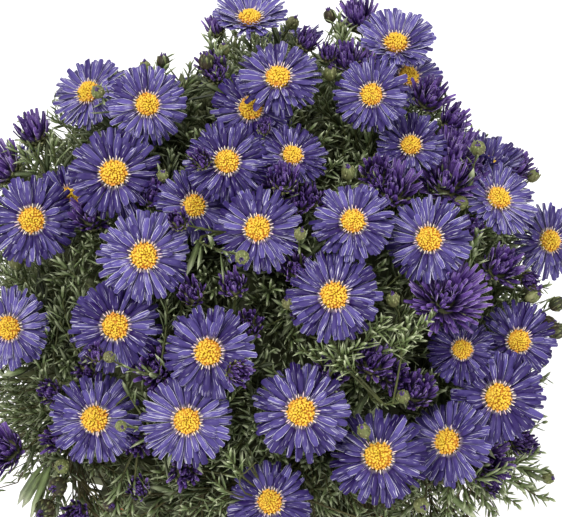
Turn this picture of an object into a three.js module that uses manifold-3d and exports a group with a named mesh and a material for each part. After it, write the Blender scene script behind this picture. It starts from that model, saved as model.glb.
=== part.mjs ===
// A potted cushion aster: a plain clay pot, its compost, six leafy stems and fifty-two open blooms.
// Millimetres, +Z up, origin at the middle of the pot's flat underside.
import * as THREE from 'three';
import { mergeVertices } from 'three/addons/utils/BufferGeometryUtils.js';
import Module from 'manifold-3d';

const wasm = await Module();
wasm.setup();

// Pot and compost
const POT_HEIGHT = 120;
const POT_FOOT_RADIUS = 52;
const POT_RIM_RADIUS = 76;
const POT_WALL = 5;
const POT_BAND_DROP = 26;
const POT_BAND_STEP = 4;
const POT_MOUTH_RADIUS = 70;
const POT_FLOOR_RADIUS = 48;
const POT_SIDES = 32;
const COMPOST_SIDES = 20;
const DRAIN_HOLES = 3;
const DRAIN_RADIUS = 6;
const DRAIN_RING = 30;
const COMPOST_TOP = 107;
const COMPOST_CRUMB = 2.2;

// Mound of the plant: an upright ellipsoid round the pot's axis
const MOUND_RADIUS = 151;
const MOUND_RISE = 172;
const MOUND_WIDEST = 205;
const MOUND_MIDDLE = new THREE.Vector3(0, 0, MOUND_WIDEST);

// Stems: six from the crown, each rising straight at first and then leaning out over its sixth of the mound
const STEMS = 6;
const CROWN_RADIUS = 15;
const TRUNK_UPRIGHT = 55;
const TRUNK_BEND_RADIUS = 34;
const TRUNK_TOP_RADIUS = 66;
const TRUNK_TOP_RISE = 88;
const TRUNK_SIDES = 5;
const TRUNK_STEPS = 9;
const BARE_JOINTS = 3;
const STEM_RADIUS = 2.4;
const BRANCH_RADIUS = 1.0;
const BRANCH_SIDES = 3;
const TAPER = 0.75;
const LONG_BRANCH = 55;
const SHORTEST_BRANCH = 22;
const SIDE_BENDS = [0, 4, -4, 8, -8, 12, -12, 16, -16, 22, -22, 30, -30];
const ROOTED_DEPTH = 26;
const STEM_HOLE_RADIUS = 3.7;

// What a branch pays for a joint, in millimetres of reach: turning by more than it may at either end, being a
// stub, and sharing the joint
const FREE_LEAN = 0.75;
const FREE_ARRIVAL = 0.9;
const TURN_COST = 3;
const STUBBY_COST = 60;
const SHARED_COST = 14;

// Leaves, in whorls along the stems
const WHORL_LEAVES = 5;
const WHORL_SHARE = 0.14;
const LEAF_LENGTH = 27;
const LEAF_SHARES = [1, 0.75, 0.5];
const LEAF_WIDTH = 5;
const HUB_MARGIN = 0.9;
const HUB_HEIGHT = 2.4;

// Crowded inner shoots, as a wedge of the mound's middle round each stem, with leafy tufts all over its face.
// share: its size against the mound; floor: its lowest height; top: its highest as a share of its own.
const THICKET = { share: 0.64, floor: 125, top: 0.96, columns: 5, rows: 9, axisGap: 6, wallGap: 0.6, seed: 40 };
const UNEVEN = 0.6;
const TUFT_RISE = 25;
const TUFT_SHARES = [1, 0.75, 0.5, 0.25, 0.1];
const TUFT_LEAN = new THREE.Vector3(0, 0, 0.65);

// Gaps between pieces that rest on each other, that pass each other, and between leaves of one stem
const GAP = 0.3;
const CLEAR = 0.45;
const KIN_CLEAR = 0.1;
const TRIM = 0.06;

// Blooms: rays in an upper and a lower row round a domed disc
const RAYS = 12;
const DISC_SHARE = 0.27;
const SEAT_DEPTH = 7.5;
const BLOOM_SEED = 100;
const SINK_STEP = 1.5;
const TIP_SHIFTS = [0, 3, -3, 6, -6, 9, -9, 12, -12, 16, -16, 20, -20, 25, -25];

// The sight line from which the plant's face is laid out: it looks down at the mound from the front
const SIGHT_ELEVATION = THREE.MathUtils.degToRad(30);
const SIGHT_DISTANCE = 1000;
const MM_PER_PIXEL = 0.5;
const FRAME_MIDDLE = [281, 258.5];
const MOUND_MIDDLE_PIXEL = [258, 330];
const RIGHT = new THREE.Vector3(1, 0, 0);
const UP = new THREE.Vector3(0, Math.sin(SIGHT_ELEVATION), Math.cos(SIGHT_ELEVATION));
const BACK = new THREE.Vector3(0, -Math.cos(SIGHT_ELEVATION), Math.sin(SIGHT_ELEVATION));
const EYE = MOUND_MIDDLE.clone()
  .addScaledVector(RIGHT, (FRAME_MIDDLE[0] - MOUND_MIDDLE_PIXEL[0]) * MM_PER_PIXEL)
  .addScaledVector(UP, (MOUND_MIDDLE_PIXEL[1] - FRAME_MIDDLE[1]) * MM_PER_PIXEL)
  .addScaledVector(BACK, SIGHT_DISTANCE);

// Open blooms on the plant's face, uppermost first. at: the disc's pixel; across: diameter in millimetres;
// right and up: how far the bloom turns from the eye, in degrees; share: how far out in the mound it sits.
const FACE_BLOOMS = [
  { at: [301, 412], across: 43, right: 0, up: 2, share: 1.02 },
  { at: [378, 457], across: 43, right: 4, up: 16, share: 1.03 },
  { at: [334, 296], across: 40, right: 2, up: 12, share: 1.02 },
  { at: [187, 421], across: 40, right: 0, up: 0, share: 1.02 },
  { at: [209, 352], across: 40, right: -14, up: -4, share: 1.0 },
  { at: [144, 256], across: 40, right: 4, up: 4, share: 1.02 },
  { at: [258, 229], across: 38, right: -4, up: 12, share: 1.02 },
  { at: [429, 239], across: 38, right: 2, up: 4, share: 1.02 },
  { at: [498, 397], across: 43, right: 10, up: -4, share: 1.02 },
  { at: [448, 442], across: 40, right: -22, up: 8, share: 1.0 },
  { at: [278, 78], across: 37, right: 0, up: 32, share: 1.02 },
  { at: [95, 419], across: 40, right: -6, up: 0, share: 1.02 },
  { at: [115, 326], across: 40, right: 0, up: 0, share: 1.02 },
  { at: [353, 222], across: 36, right: 4, up: 20, share: 1.01 },
  { at: [114, 174], across: 41, right: -4, up: 16, share: 1.0 },
  { at: [32, 220], across: 40, right: -8, up: 2, share: 1.02 },
  { at: [372, 95], across: 34, right: -8, up: 10, share: 1.02 },
  { at: [227, 162], across: 36, right: 0, up: 14, share: 1.0 },
  { at: [498, 199], across: 38, right: 28, up: 28, share: 1.0 },
  { at: [147, 105], across: 36, right: 8, up: 14, share: 1.0 },
  { at: [9, 328], across: 38, right: -16, up: 0, share: 1.0 },
  { at: [518, 341], across: 37, right: 16, up: 0, share: 1.0 },
  { at: [549, 241], across: 38, right: 32, up: 4, share: 1.0 },
  { at: [396, 44], across: 38, right: 4, up: 40, share: 1.0 },
  { at: [250, 19], across: 36, right: 0, up: 52, share: 1.0 },
  { at: [270, 502], across: 37, right: 0, up: 8, share: 1.0 },
  { at: [292, 156], across: 31, right: 16, up: 30, share: 0.98 },
  { at: [251, 109], across: 37, right: -8, up: 16, share: 0.94 },
  { at: [89, 93], across: 36, right: -30, up: 26, share: 0.98 },
  { at: [408, 77], across: 34, right: 24, up: 28, share: 0.95 },
  { at: [194, 206], across: 34, right: 8, up: 8, share: 0.94 },
  { at: [411, 146], across: 32, right: 0, up: 24, share: 0.94 },
  { at: [462, 350], across: 31, right: 6, up: 16, share: 0.94 },
  { at: [69, 197], across: 31, right: 16, up: 26, share: 0.94 },
  { at: [486, 166], across: 40, right: 36, up: 58, share: 0.97 },
];

// Half-open heads on the plant's face, with the same values
const FACE_HEADS = [
  { at: [34, 132], across: 17, right: -30, up: 50, share: 1.0 },
  { at: [211, 66], across: 13, right: -10, up: 30, share: 1.0 },
  { at: [307, 42], across: 12, right: 30, up: 40, share: 0.98 },
  { at: [358, 18], across: 17, right: -10, up: 50, share: 1.0 },
  { at: [429, 98], across: 17, right: 20, up: 30, share: 0.98 },
  { at: [452, 121], across: 15, right: 30, up: 30, share: 0.98 },
  { at: [514, 167], across: 16, right: 45, up: 35, share: 1.0 },
  { at: [91, 216], across: 17, right: -10, up: 20, share: 0.93 },
  { at: [179, 221], across: 11, right: -10, up: 20, share: 1.02 },
  { at: [201, 160], across: 11, right: -10, up: 20, share: 1.05 },
  { at: [284, 181], across: 14, right: 0, up: 30, share: 0.97 },
  { at: [233, 286], across: 13, right: -10, up: 20, share: 0.98 },
  { at: [192, 294], across: 13, right: -10, up: 20, share: 0.97 },
  { at: [302, 313], across: 10, right: -20, up: 0, share: 0.93 },
  { at: [446, 298], across: 26, right: 10, up: 20, share: 0.99 },
  { at: [500, 268], across: 17, right: 20, up: 20, share: 0.97 },
  { at: [528, 279], across: 10, right: 40, up: -10, share: 1.0 },
  { at: [95, 354], across: 10, right: -10, up: 20, share: 1.06 },
  { at: [51, 392], across: 12, right: -20, up: 10, share: 0.98 },
  { at: [6, 450], across: 20, right: -30, up: 10, share: 0.99 },
  { at: [139, 489], across: 12, right: -10, up: 10, share: 0.96 },
  { at: [237, 372], across: 12, right: 20, up: -10, share: 1.07 },
  { at: [373, 363], across: 16, right: 10, up: 20, share: 0.97 },
  { at: [416, 392], across: 17, right: 10, up: 20, share: 0.93 },
  { at: [530, 448], across: 10, right: 40, up: 10, share: 0.99 },
  { at: [492, 487], across: 9, right: 20, up: -10, share: 0.98 },
  { at: [264, 128], across: 8, right: 0, up: 30, share: 1.02 },
];

// Closed buds on the plant's face, with the same values
const FACE_BUDS = [
  { at: [292, 23], across: 7, right: 40, up: 50, share: 0.99 },
  { at: [98, 92], across: 7, right: -10, up: 20, share: 1.08 },
  { at: [348, 173], across: 7, right: 0, up: 50, share: 0.98 },
  { at: [16, 262], across: 8, right: -30, up: 40, share: 0.95 },
  { at: [242, 257], across: 7, right: 0, up: -20, share: 1.09 },
  { at: [393, 300], across: 7, right: -10, up: 50, share: 0.98 },
  { at: [461, 203], across: 8, right: -20, up: -10, share: 0.96 },
  { at: [478, 148], across: 8, right: 0, up: 20, share: 1.07 },
  { at: [533, 176], across: 7, right: 50, up: 40, share: 1.02 },
  { at: [62, 466], across: 8, right: -10, up: -10, share: 0.98 },
  { at: [548, 478], across: 7, right: 40, up: 0, share: 1.02 },
  { at: [421, 505], across: 8, right: 10, up: -20, share: 0.99 },
];

// Flowers on the sides and back, spread by rule. turns: points of the whole spiral; highest and lowest: where it
// runs from and to, as shares of the mound's height; across and spread: the smallest diameter and what a draw
// adds to it.
const HIDDEN_BLOOMS = { count: 17, turns: 47, highest: 0.93, lowest: -0.34, across: 39, spread: 5, seed: 7 };
const HIDDEN_HEADS = { count: 7, turns: 20, highest: 0.6, lowest: -0.4, across: 11, spread: 9, seed: 21 };
const HIDDEN_BUDS = { count: 3, turns: 12, highest: 0.6, lowest: -0.45, across: 6, spread: 2, seed: 22 };
const SPIRAL_START = THREE.MathUtils.degToRad(148);
const HIDDEN_FROM = -0.16;
const HIDDEN_SHARE = 0.97;

const PETAL = new THREE.MeshStandardMaterial({ color: 0x5a4da6, roughness: 0.6, side: THREE.DoubleSide });
const FOLIAGE = new THREE.MeshStandardMaterial({ color: 0x4c6137, roughness: 0.7 });
const CLAY = new THREE.MeshStandardMaterial({ color: 0xb0663f, roughness: 0.85 });
const COMPOST = new THREE.MeshStandardMaterial({ color: 0x35271d, roughness: 1.0 });

// One seeded generator of numbers from 0 to 1, so that every build is the same
function seeded(seed) {
  let state = seed;
  return () => {
    state = (state + 0x6d2b79f5) | 0;
    let t = Math.imul(state ^ (state >>> 15), 1 | state);
    t = (t + Math.imul(t ^ (t >>> 7), 61 | t)) ^ t;
    return ((t ^ (t >>> 14)) >>> 0) / 4294967296;
  };
}

// A closed geometry as a solid that can be joined and cut
function solidOf(geometry) {
  const bare = geometry.clone();
  bare.deleteAttribute('normal');
  bare.deleteAttribute('uv');
  const merged = mergeVertices(bare, 1e-4);
  return new wasm.Manifold(new wasm.Mesh({
    numProp: 3,
    vertProperties: new Float32Array(merged.attributes.position.array),
    triVerts: new Uint32Array(merged.index.array),
  }));
}

// A solid as a geometry
function geometryOf(solid) {
  const mesh = solid.getMesh();
  const points = new Float32Array(mesh.numVert * 3);
  for (let i = 0; i < mesh.numVert; i++) {
    points.set(mesh.vertProperties.subarray(i * mesh.numProp, i * mesh.numProp + 3), i * 3);
  }
  const geometry = new THREE.BufferGeometry();
  geometry.setAttribute('position', new THREE.BufferAttribute(points, 3));
  geometry.setIndex(new THREE.BufferAttribute(new Uint32Array(mesh.triVerts), 1));
  geometry.computeVertexNormals();
  return geometry;
}

// A geometry from its points' coordinates and its triangles
function facetedGeometry(points, faces) {
  const geometry = new THREE.BufferGeometry();
  geometry.setAttribute('position', new THREE.Float32BufferAttribute(points, 3));
  geometry.setIndex(faces);
  return geometry;
}

// The largest of a solid's separate bodies
function largestBody(solid) {
  return solid.decompose().reduce((best, body) => (body.volume() > best.volume() ? body : best));
}

function join(solids) {
  return wasm.Manifold.union(solids);
}

function boxesMeet(a, b, margin) {
  return [0, 1, 2].every((i) => a.min[i] - margin < b.max[i] && b.min[i] - margin < a.max[i]);
}

// A solid with its box, so that most pairs need no exact test
function boxed(solid, owner) {
  return { solid, owner, box: solid.boundingBox() };
}

// Whether a solid keeps at least a margin from every solid of a list
function isClear(piece, others, margin) {
  return others.every((other) => !boxesMeet(piece.box, other.box, margin)
    || piece.solid.minGap(other.solid, margin) >= margin);
}

// Where the sight line through a pixel meets the mound, at a share of its size
function moundPoint(pixel, share) {
  const target = EYE.clone().addScaledVector(BACK, -SIGHT_DISTANCE)
    .addScaledVector(RIGHT, (pixel[0] - FRAME_MIDDLE[0]) * MM_PER_PIXEL)
    .addScaledVector(UP, (FRAME_MIDDLE[1] - pixel[1]) * MM_PER_PIXEL);
  const sight = target.sub(EYE).normalize();
  const scale = new THREE.Vector3(1 / MOUND_RADIUS, 1 / MOUND_RADIUS, 1 / MOUND_RISE);
  const from = EYE.clone().sub(MOUND_MIDDLE).multiply(scale);
  const along = sight.clone().multiply(scale);
  const a = along.lengthSq();
  const b = from.dot(along);
  const c = from.lengthSq() - share * share;
  const reach = (-b - Math.sqrt(Math.max(0, b * b - a * c))) / a;
  return { point: EYE.clone().addScaledVector(sight, reach), sight };
}

// A flower's place: its middle, the way it faces, and the line along which it may be sunk
function facePlace(item) {
  const { point, sight } = moundPoint(item.at, item.share);
  const right = THREE.MathUtils.degToRad(item.right);
  const up = THREE.MathUtils.degToRad(item.up);
  const facing = sight.clone().multiplyScalar(-Math.cos(right) * Math.cos(up))
    .addScaledVector(RIGHT, Math.sin(right) * Math.cos(up))
    .addScaledVector(UP, Math.sin(up)).normalize();
  return { middle: point, facing, sink: sight, across: item.across };
}

// Places on the side of the mound that the sight line doesn't reach, on a golden-angle spiral
function hiddenPlaces({ count, turns, highest, lowest, across, spread, seed }) {
  const random = seeded(seed);
  const radii = new THREE.Vector3(MOUND_RADIUS, MOUND_RADIUS, MOUND_RISE);
  const places = [];
  for (let i = 0; places.length < count; i++) {
    const height = highest - (highest - lowest) * ((i + 0.5) / turns);
    const angle = SPIRAL_START + i * Math.PI * (3 - Math.sqrt(5));
    const flat = Math.sqrt(Math.max(0, 1 - height * height));
    const way = new THREE.Vector3(Math.cos(angle) * flat, Math.sin(angle) * flat, height);
    const outward = way.clone().divide(radii).normalize();
    if (outward.dot(BACK) > HIDDEN_FROM) continue;
    const middle = way.clone().multiply(radii).multiplyScalar(HIDDEN_SHARE).add(MOUND_MIDDLE);
    const tilt = new THREE.Vector3(random() - 0.5, random() - 0.5, 0.9 + random() * 0.6).multiplyScalar(0.5);
    const facing = outward.clone().add(tilt).normalize();
    places.push({ middle, facing, sink: outward.clone().negate(), across: across + random() * spread });
  }
  return places;
}

function turnTo(facing, spin) {
  const turn = new THREE.Quaternion().setFromUnitVectors(new THREE.Vector3(0, 0, 1), facing);
  return turn.multiply(new THREE.Quaternion().setFromAxisAngle(new THREE.Vector3(0, 0, 1), spin));
}

function matrixOf(middle, turn) {
  return new THREE.Matrix4().compose(middle, turn, new THREE.Vector3(1, 1, 1));
}

// An open bloom facing +Z, its disc's edge at height 0. Rays stand by turns in an upper and a lower row, each
// wider than its share of the circle, so that the rows overlap.
function bloomGeometry(across, random) {
  const radius = across / 2;
  const disc = radius * DISC_SHARE;
  const step = (2 * Math.PI) / RAYS;
  const points = [];
  const faces = [];
  const add = (r, angle, z) => points.push(Math.cos(angle) * r, Math.sin(angle) * r, z) / 3 - 1;
  const ring = (make) => Array.from({ length: RAYS }, (_, i) => make(i));
  const notch = ring((i) => add(disc * 1.12, (i - 0.5) * step, -0.4));
  const brow = ring((i) => add(disc, i * step, 1.1));
  const under = ring((i) => add(disc * 0.85, i * step, -2.2));
  const crown = Array.from({ length: RAYS / 2 }, (_, j) => add(disc * 0.55, (2 * j + 0.5) * step, 3.4));
  const seat = add(0, 0, -SEAT_DEPTH);
  for (let i = 0; i < RAYS; i++) {
    const upper = i % 2 === 0;
    const next = (i + 1) % RAYS;
    const last = (i + RAYS - 1) % RAYS;
    const length = radius * ((upper ? 0.9 : 0.96) + random() * 0.07);
    const lift = (upper ? 1.5 : -1.6) + (random() - 0.5) * 0.5;
    const lean = (random() - 0.5) * 0.16;
    const widest = disc + (length - disc) * 0.64;
    const right = add(widest, (i - 0.62 + lean) * step, lift * 0.85 - 0.2);
    const tip = add(length, (i + lean) * step, lift + (random() - 0.5) * 1.2);
    const left = add(widest, (i + 0.62 + lean) * step, lift * 0.85 - 0.2);
    for (const [a, b] of [[notch[i], right], [right, tip], [tip, left], [left, notch[next]]]) {
      faces.push(brow[i], a, b, under[i], b, a);
    }
    faces.push(brow[last], notch[i], brow[i], under[i], notch[i], under[last], under[i], under[last], seat);
  }
  for (let j = 0; j < RAYS / 2; j++) {
    const here = crown[j];
    const there = crown[(j + 1) % (RAYS / 2)];
    const ahead = brow[(2 * j + 2) % RAYS];
    faces.push(brow[2 * j], brow[2 * j + 1], here, brow[2 * j + 1], ahead, here, ahead, there, here);
    if (j > 0 && j < RAYS / 2 - 1) faces.push(crown[0], here, there);
  }
  return facetedGeometry(points, faces);
}

// A half-open head facing +Z: a cup that opens into a ring of upright rays, their tips in and out by turns
function headGeometry(across) {
  const r = across / 2;
  const sides = 8;
  const profile = [[0, -r * 1.1], [r * 0.66, -r * 0.3], [r, r * 0.55], [0, r * 0.15]];
  const geometry = new THREE.LatheGeometry(profile.map(([x, y]) => new THREE.Vector2(x, y)), sides);
  geometry.rotateX(Math.PI / 2);
  const position = geometry.attributes.position;
  for (let i = 0; i <= sides; i++) {
    const tip = i * profile.length + 2;
    const spread = i % 2 === 0 ? 0.8 : 1.12;
    const rise = i % 2 === 0 ? 1.25 : 0.85;
    position.setXYZ(tip, position.getX(tip) * spread, position.getY(tip) * spread, position.getZ(tip) * rise);
  }
  return geometry;
}

// A closed bud facing +Z, an egg of overlapping scales with a small flat crown
function budGeometry(across) {
  const r = across / 2;
  const profile = [[0, -r * 1.15], [r, -r * 0.1], [r * 0.5, r * 0.95], [0, r * 0.95]];
  return new THREE.LatheGeometry(profile.map(([x, y]) => new THREE.Vector2(x, y)), 5).rotateX(Math.PI / 2);
}

// A whorl of lance-shaped leaves round a stem along +Z through its flat hub, with one length for each leaf
function whorlGeometry(lengths, pitches, hub) {
  const points = [];
  const faces = [];
  const add = (r, angle, z) => points.push(Math.cos(angle) * r, Math.sin(angle) * r, z) / 3 - 1;
  const count = lengths.length;
  const step = (2 * Math.PI) / count;
  const above = lengths.map((_, i) => add(hub, (i - 0.5) * step, HUB_HEIGHT / 2));
  const below = lengths.map((_, i) => add(hub, (i - 0.5) * step, -HUB_HEIGHT / 2));
  lengths.forEach((length, i) => {
    const next = (i + 1) % count;
    const middle = length * 0.45;
    const half = Math.atan(LEAF_WIDTH / 2 / middle);
    const rise = (r) => Math.sin(pitches[i]) * r;
    const flat = (r) => Math.cos(pitches[i]) * r;
    const right = add(flat(middle), i * step - half, rise(middle));
    const tip = add(flat(length), i * step, rise(length) - length * 0.1);
    const left = add(flat(middle), i * step + half, rise(middle));
    faces.push(above[i], right, tip, above[i], tip, above[next], above[next], tip, left);
    faces.push(below[i], tip, right, below[i], below[next], tip, below[next], left, tip);
    faces.push(above[i], below[i], right, above[next], left, below[next]);
    if (i > 0 && i < count - 1) faces.push(above[0], above[i], above[next], below[0], below[next], below[i]);
  });
  return facetedGeometry(points, faces);
}

// One leaf of a whorl without its root, to test what it would meet
function bladeGeometry(length, pitch, angle, hub) {
  const geometry = new THREE.OctahedronGeometry(1, 0);
  geometry.scale((length - 2 * hub) / 2, LEAF_WIDTH / 2, 0.7).translate((length + 2 * hub) / 2, 0, 0);
  return geometry.rotateY(-pitch).rotateZ(angle);
}

// A stem along a curve, a little thinner at its far end. It starts from a joint, whose ring it carries on.
function growTube(curve, radius, sides, steps, joint) {
  const points = [];
  const faces = [];
  const joints = [];
  let side = joint.side;
  curve.getSpacedPoints(steps).forEach((point, i) => {
    const way = curve.getTangentAt(i / steps);
    const r = Math.min(radius * (1 - ((1 - TAPER) * i) / steps), i === 0 ? joint.r * 0.85 : radius);
    side = side.clone().addScaledVector(way, -side.dot(way)).normalize();
    const across = new THREE.Vector3().crossVectors(way, side);
    for (let j = 0; j < sides; j++) {
      const angle = (j * 2 * Math.PI) / sides;
      points.push(...point.clone().addScaledVector(side, Math.cos(angle) * r)
        .addScaledVector(across, Math.sin(angle) * r));
    }
    joints.push({ point, way, side, r, uses: 0 });
  });
  for (let i = 0; i < steps; i++) {
    for (let j = 0; j < sides; j++) {
      const a = i * sides + j;
      const b = i * sides + ((j + 1) % sides);
      faces.push(a, b, a + sides, b, b + sides, a + sides);
    }
  }
  const last = steps * sides;
  for (let j = 1; j < sides - 1; j++) faces.push(0, j + 1, j, last, last + j, last + j + 1);
  return { solid: solidOf(facetedGeometry(points, faces)), joints };
}

// The pot: foot, flared wall, a band under the rim, and holes in its floor
function potSolid() {
  const outline = [
    [0, 0], [POT_FOOT_RADIUS, 0],
    [POT_RIM_RADIUS - POT_BAND_STEP, POT_HEIGHT - POT_BAND_DROP],
    [POT_RIM_RADIUS - 1, POT_HEIGHT - POT_BAND_DROP + 1.5],
    [POT_RIM_RADIUS, POT_HEIGHT - 3], [POT_RIM_RADIUS - 2, POT_HEIGHT],
    [POT_MOUTH_RADIUS, POT_HEIGHT], [POT_FLOOR_RADIUS, POT_WALL], [0, POT_WALL],
  ];
  const shell = new THREE.LatheGeometry(outline.map(([x, y]) => new THREE.Vector2(x, y)), POT_SIDES);
  const drains = Array.from({ length: DRAIN_HOLES }, (_, i) => {
    const angle = (i * 2 * Math.PI) / DRAIN_HOLES;
    const hole = new THREE.CylinderGeometry(DRAIN_RADIUS, DRAIN_RADIUS, 3 * POT_WALL, 10).rotateX(Math.PI / 2);
    return solidOf(hole.translate(Math.cos(angle) * DRAIN_RING, Math.sin(angle) * DRAIN_RING, POT_WALL / 2));
  });
  return solidOf(shell.rotateX(Math.PI / 2)).subtract(join(drains));
}

// The compost: it fills the pot to below the rim, with a crumbled top and a plain hole for each stem
function compostSolid(feet) {
  const random = seeded(11);
  const slope = (POT_MOUTH_RADIUS - POT_FLOOR_RADIUS) / (POT_HEIGHT - POT_WALL);
  const radiusAt = (z) => POT_FLOOR_RADIUS + (z - POT_WALL) * slope - 2 * GAP;
  const rows = [[0, POT_WALL + GAP], [radiusAt(POT_WALL + GAP), POT_WALL + GAP],
    [radiusAt(COMPOST_TOP - 3), COMPOST_TOP - 3], [54, COMPOST_TOP], [40, COMPOST_TOP], [26, COMPOST_TOP + 1],
    [0, COMPOST_TOP + 2]];
  const body = new THREE.LatheGeometry(rows.map(([x, y]) => new THREE.Vector2(x, y)), COMPOST_SIDES);
  body.rotateX(Math.PI / 2);
  const position = body.attributes.position;
  for (let side = 0; side < COMPOST_SIDES; side++) {
    for (let row = 3; row < 6; row++) {
      const lift = (random() - 0.5) * 2 * COMPOST_CRUMB;
      const twins = side === 0 ? [row, COMPOST_SIDES * rows.length + row] : [side * rows.length + row];
      for (const i of twins) position.setZ(i, position.getZ(i) + lift);
    }
  }
  const holes = feet.map((foot) => {
    const depth = ROOTED_DEPTH + 30;
    const hole = new THREE.CylinderGeometry(STEM_HOLE_RADIUS, STEM_HOLE_RADIUS, depth, 8);
    return solidOf(hole.rotateX(Math.PI / 2).translate(foot.x, foot.y, foot.z - GAP + depth / 2));
  });
  return solidOf(body).subtract(join(holes));
}

// A bloom, set at its place and sunk along its line until it clears those set before it
function setBloom(place, number, placed) {
  const random = seeded(BLOOM_SEED + number);
  const turn = turnTo(place.facing, random() * Math.PI);
  const shape = solidOf(bloomGeometry(place.across, random));
  for (let sunk = 0; ; sunk += SINK_STEP) {
    const middle = place.middle.clone().addScaledVector(place.sink, sunk);
    const piece = boxed(shape.transform(matrixOf(middle, turn).elements), number);
    if (isClear(piece, placed, CLEAR)) return { ...piece, middle, turn, facing: place.facing };
  }
}

// The main stem of one sixth of the mound: up from the crown, then leaning outwards
function trunkCurve(number) {
  const angle = (number * 2 * Math.PI) / STEMS - Math.PI / 2;
  const at = (r, z) => new THREE.Vector3(Math.cos(angle) * r, Math.sin(angle) * r, z);
  return new THREE.CubicBezierCurve3(
    at(CROWN_RADIUS, COMPOST_TOP - ROOTED_DEPTH), at(CROWN_RADIUS, COMPOST_TOP + TRUNK_UPRIGHT),
    at(TRUNK_BEND_RADIUS, MOUND_WIDEST), at(TRUNK_TOP_RADIUS, MOUND_WIDEST + TRUNK_TOP_RISE));
}

// The stem whose sixth of the mound holds a point
function stemAt(point) {
  const angle = Math.atan2(point.y, point.x) + Math.PI / 2;
  const sixth = Math.round((angle / (2 * Math.PI)) * STEMS);
  return ((sixth % STEMS) + STEMS) % STEMS;
}

// The joint from which a branch reaches a seat by the shortest way that leans off and arrives gently
function forkFor(seat, facing, joints) {
  const cost = ({ point, way, uses }) => {
    const line = seat.clone().sub(point);
    const turn = Math.max(0, way.angleTo(line) - FREE_LEAN) + Math.max(0, facing.angleTo(line) - FREE_ARRIVAL);
    const stubby = Math.max(0, 1 - line.length() / SHORTEST_BRANCH);
    return line.length() * (1 + TURN_COST * turn) + STUBBY_COST * stubby + SHARED_COST * uses;
  };
  return joints.reduce((best, joint) => (cost(joint) < cost(best) ? joint : best));
}

// A branch from a joint to a seat, reached along the way the flower faces
function branchCurve(joint, seat, facing, bend) {
  const reach = joint.point.distanceTo(seat);
  const aside = new THREE.Vector3(-seat.y, seat.x, 0).normalize().multiplyScalar(bend);
  return new THREE.CubicBezierCurve3(
    joint.point, joint.point.clone().addScaledVector(joint.way, reach * 0.3).add(aside),
    seat.clone().addScaledVector(facing, -reach * 0.36).add(aside), seat);
}

// Every open bloom, first those on the plant's face
const random = seeded(7);
const openPlaces = [...FACE_BLOOMS.map(facePlace), ...hiddenPlaces(HIDDEN_BLOOMS)];
const blooms = [];
for (const place of openPlaces) blooms.push(setBloom(place, blooms.length, blooms));

// The main stems. Each keeps a list of the joints from which its branches may leave.
const foot = { side: new THREE.Vector3(0, 0, 1), r: 2 * STEM_RADIUS };
const trunks = Array.from({ length: STEMS }, (_, i) => (
  growTube(trunkCurve(i), STEM_RADIUS, TRUNK_SIDES, TRUNK_STEPS, foot)));
const skeleton = trunks.map(({ solid }, i) => boxed(solid, i));
const joints = trunks.map((trunk) => trunk.joints.slice(BARE_JOINTS, TRUNK_STEPS));
const branches = [];
const tips = [];
const leaves = [];
const clearings = [];

// Grows a branch to a seat, bent sideways until it clears what is in its way. Where every bend still meets a
// bloom's rays, room is made for it in them.
function growBranch(seat, facing, bloom) {
  const number = stemAt(seat);
  const others = skeleton.filter((piece) => piece.owner !== number);
  const kin = skeleton.filter((piece) => piece.owner === number);
  const inTheWay = blooms.filter((other) => other.owner !== bloom);
  const joint = forkFor(seat, facing, joints[number]);
  const steps = joint.point.distanceTo(seat) > LONG_BRANCH ? 3 : 2;
  let chosen = null;
  for (const bend of SIDE_BENDS) {
    const curve = branchCurve(joint, seat, facing, bend);
    const grown = growTube(curve, BRANCH_RADIUS, BRANCH_SIDES, steps, joint);
    const piece = boxed(grown.solid, number);
    if (!isClear(piece, others, CLEAR)) continue;
    const far = new THREE.LineCurve3(grown.joints[1].point, grown.joints[2].point);
    const farPiece = boxed(growTube(far, BRANCH_RADIUS, BRANCH_SIDES, 1, grown.joints[1]).solid);
    const ofBlooms = isClear(piece, inTheWay, CLEAR);
    const worth = (ofBlooms ? 2 : 0) + (isClear(farPiece, kin, KIN_CLEAR) ? 1 : 0);
    if (!chosen || worth > chosen.worth) chosen = { piece, curve, ofBlooms, worth, grown };
    if (worth === 3) break;
  }
  skeleton.push(chosen.piece);
  joint.uses++;
  joints[number].push(...chosen.grown.joints.slice(1, steps));
  if (!chosen.ofBlooms) {
    const wide = growTube(chosen.curve, BRANCH_RADIUS + 2 * CLEAR, 4, steps, { ...joint, r: 2 * STEM_RADIUS });
    clearings.push({ bloom, ...boxed(wide.solid) });
  }
  branches.push({ number, piece: chosen.piece, joints: chosen.grown.joints });
}

// A head or a bud at its place or a little nearer or deeper, joined to a branch of its own
function growTip(place, geometry, spin) {
  const shape = solidOf(geometry);
  const turn = turnTo(place.facing, spin);
  for (const shift of TIP_SHIFTS) {
    const middle = place.middle.clone().addScaledVector(place.sink, shift);
    const number = stemAt(middle);
    const piece = boxed(shape.transform(matrixOf(middle, turn).elements), number);
    const seat = middle.clone().addScaledVector(place.facing, -place.across * 0.25);
    const others = [...blooms, ...tips, ...skeleton.filter((other) => other.owner !== number)];
    if (stemAt(seat) !== number || !isClear(piece, others, CLEAR)) continue;
    tips.push(piece);
    growBranch(seat, place.facing, -1);
    return;
  }
}

// How far out in the mound a point lies, as a share of the mound's size
function shareOf(point) {
  const from = point.clone().sub(MOUND_MIDDLE);
  return Math.hypot(from.x / MOUND_RADIUS, from.y / MOUND_RADIUS, from.z / MOUND_RISE);
}

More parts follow.
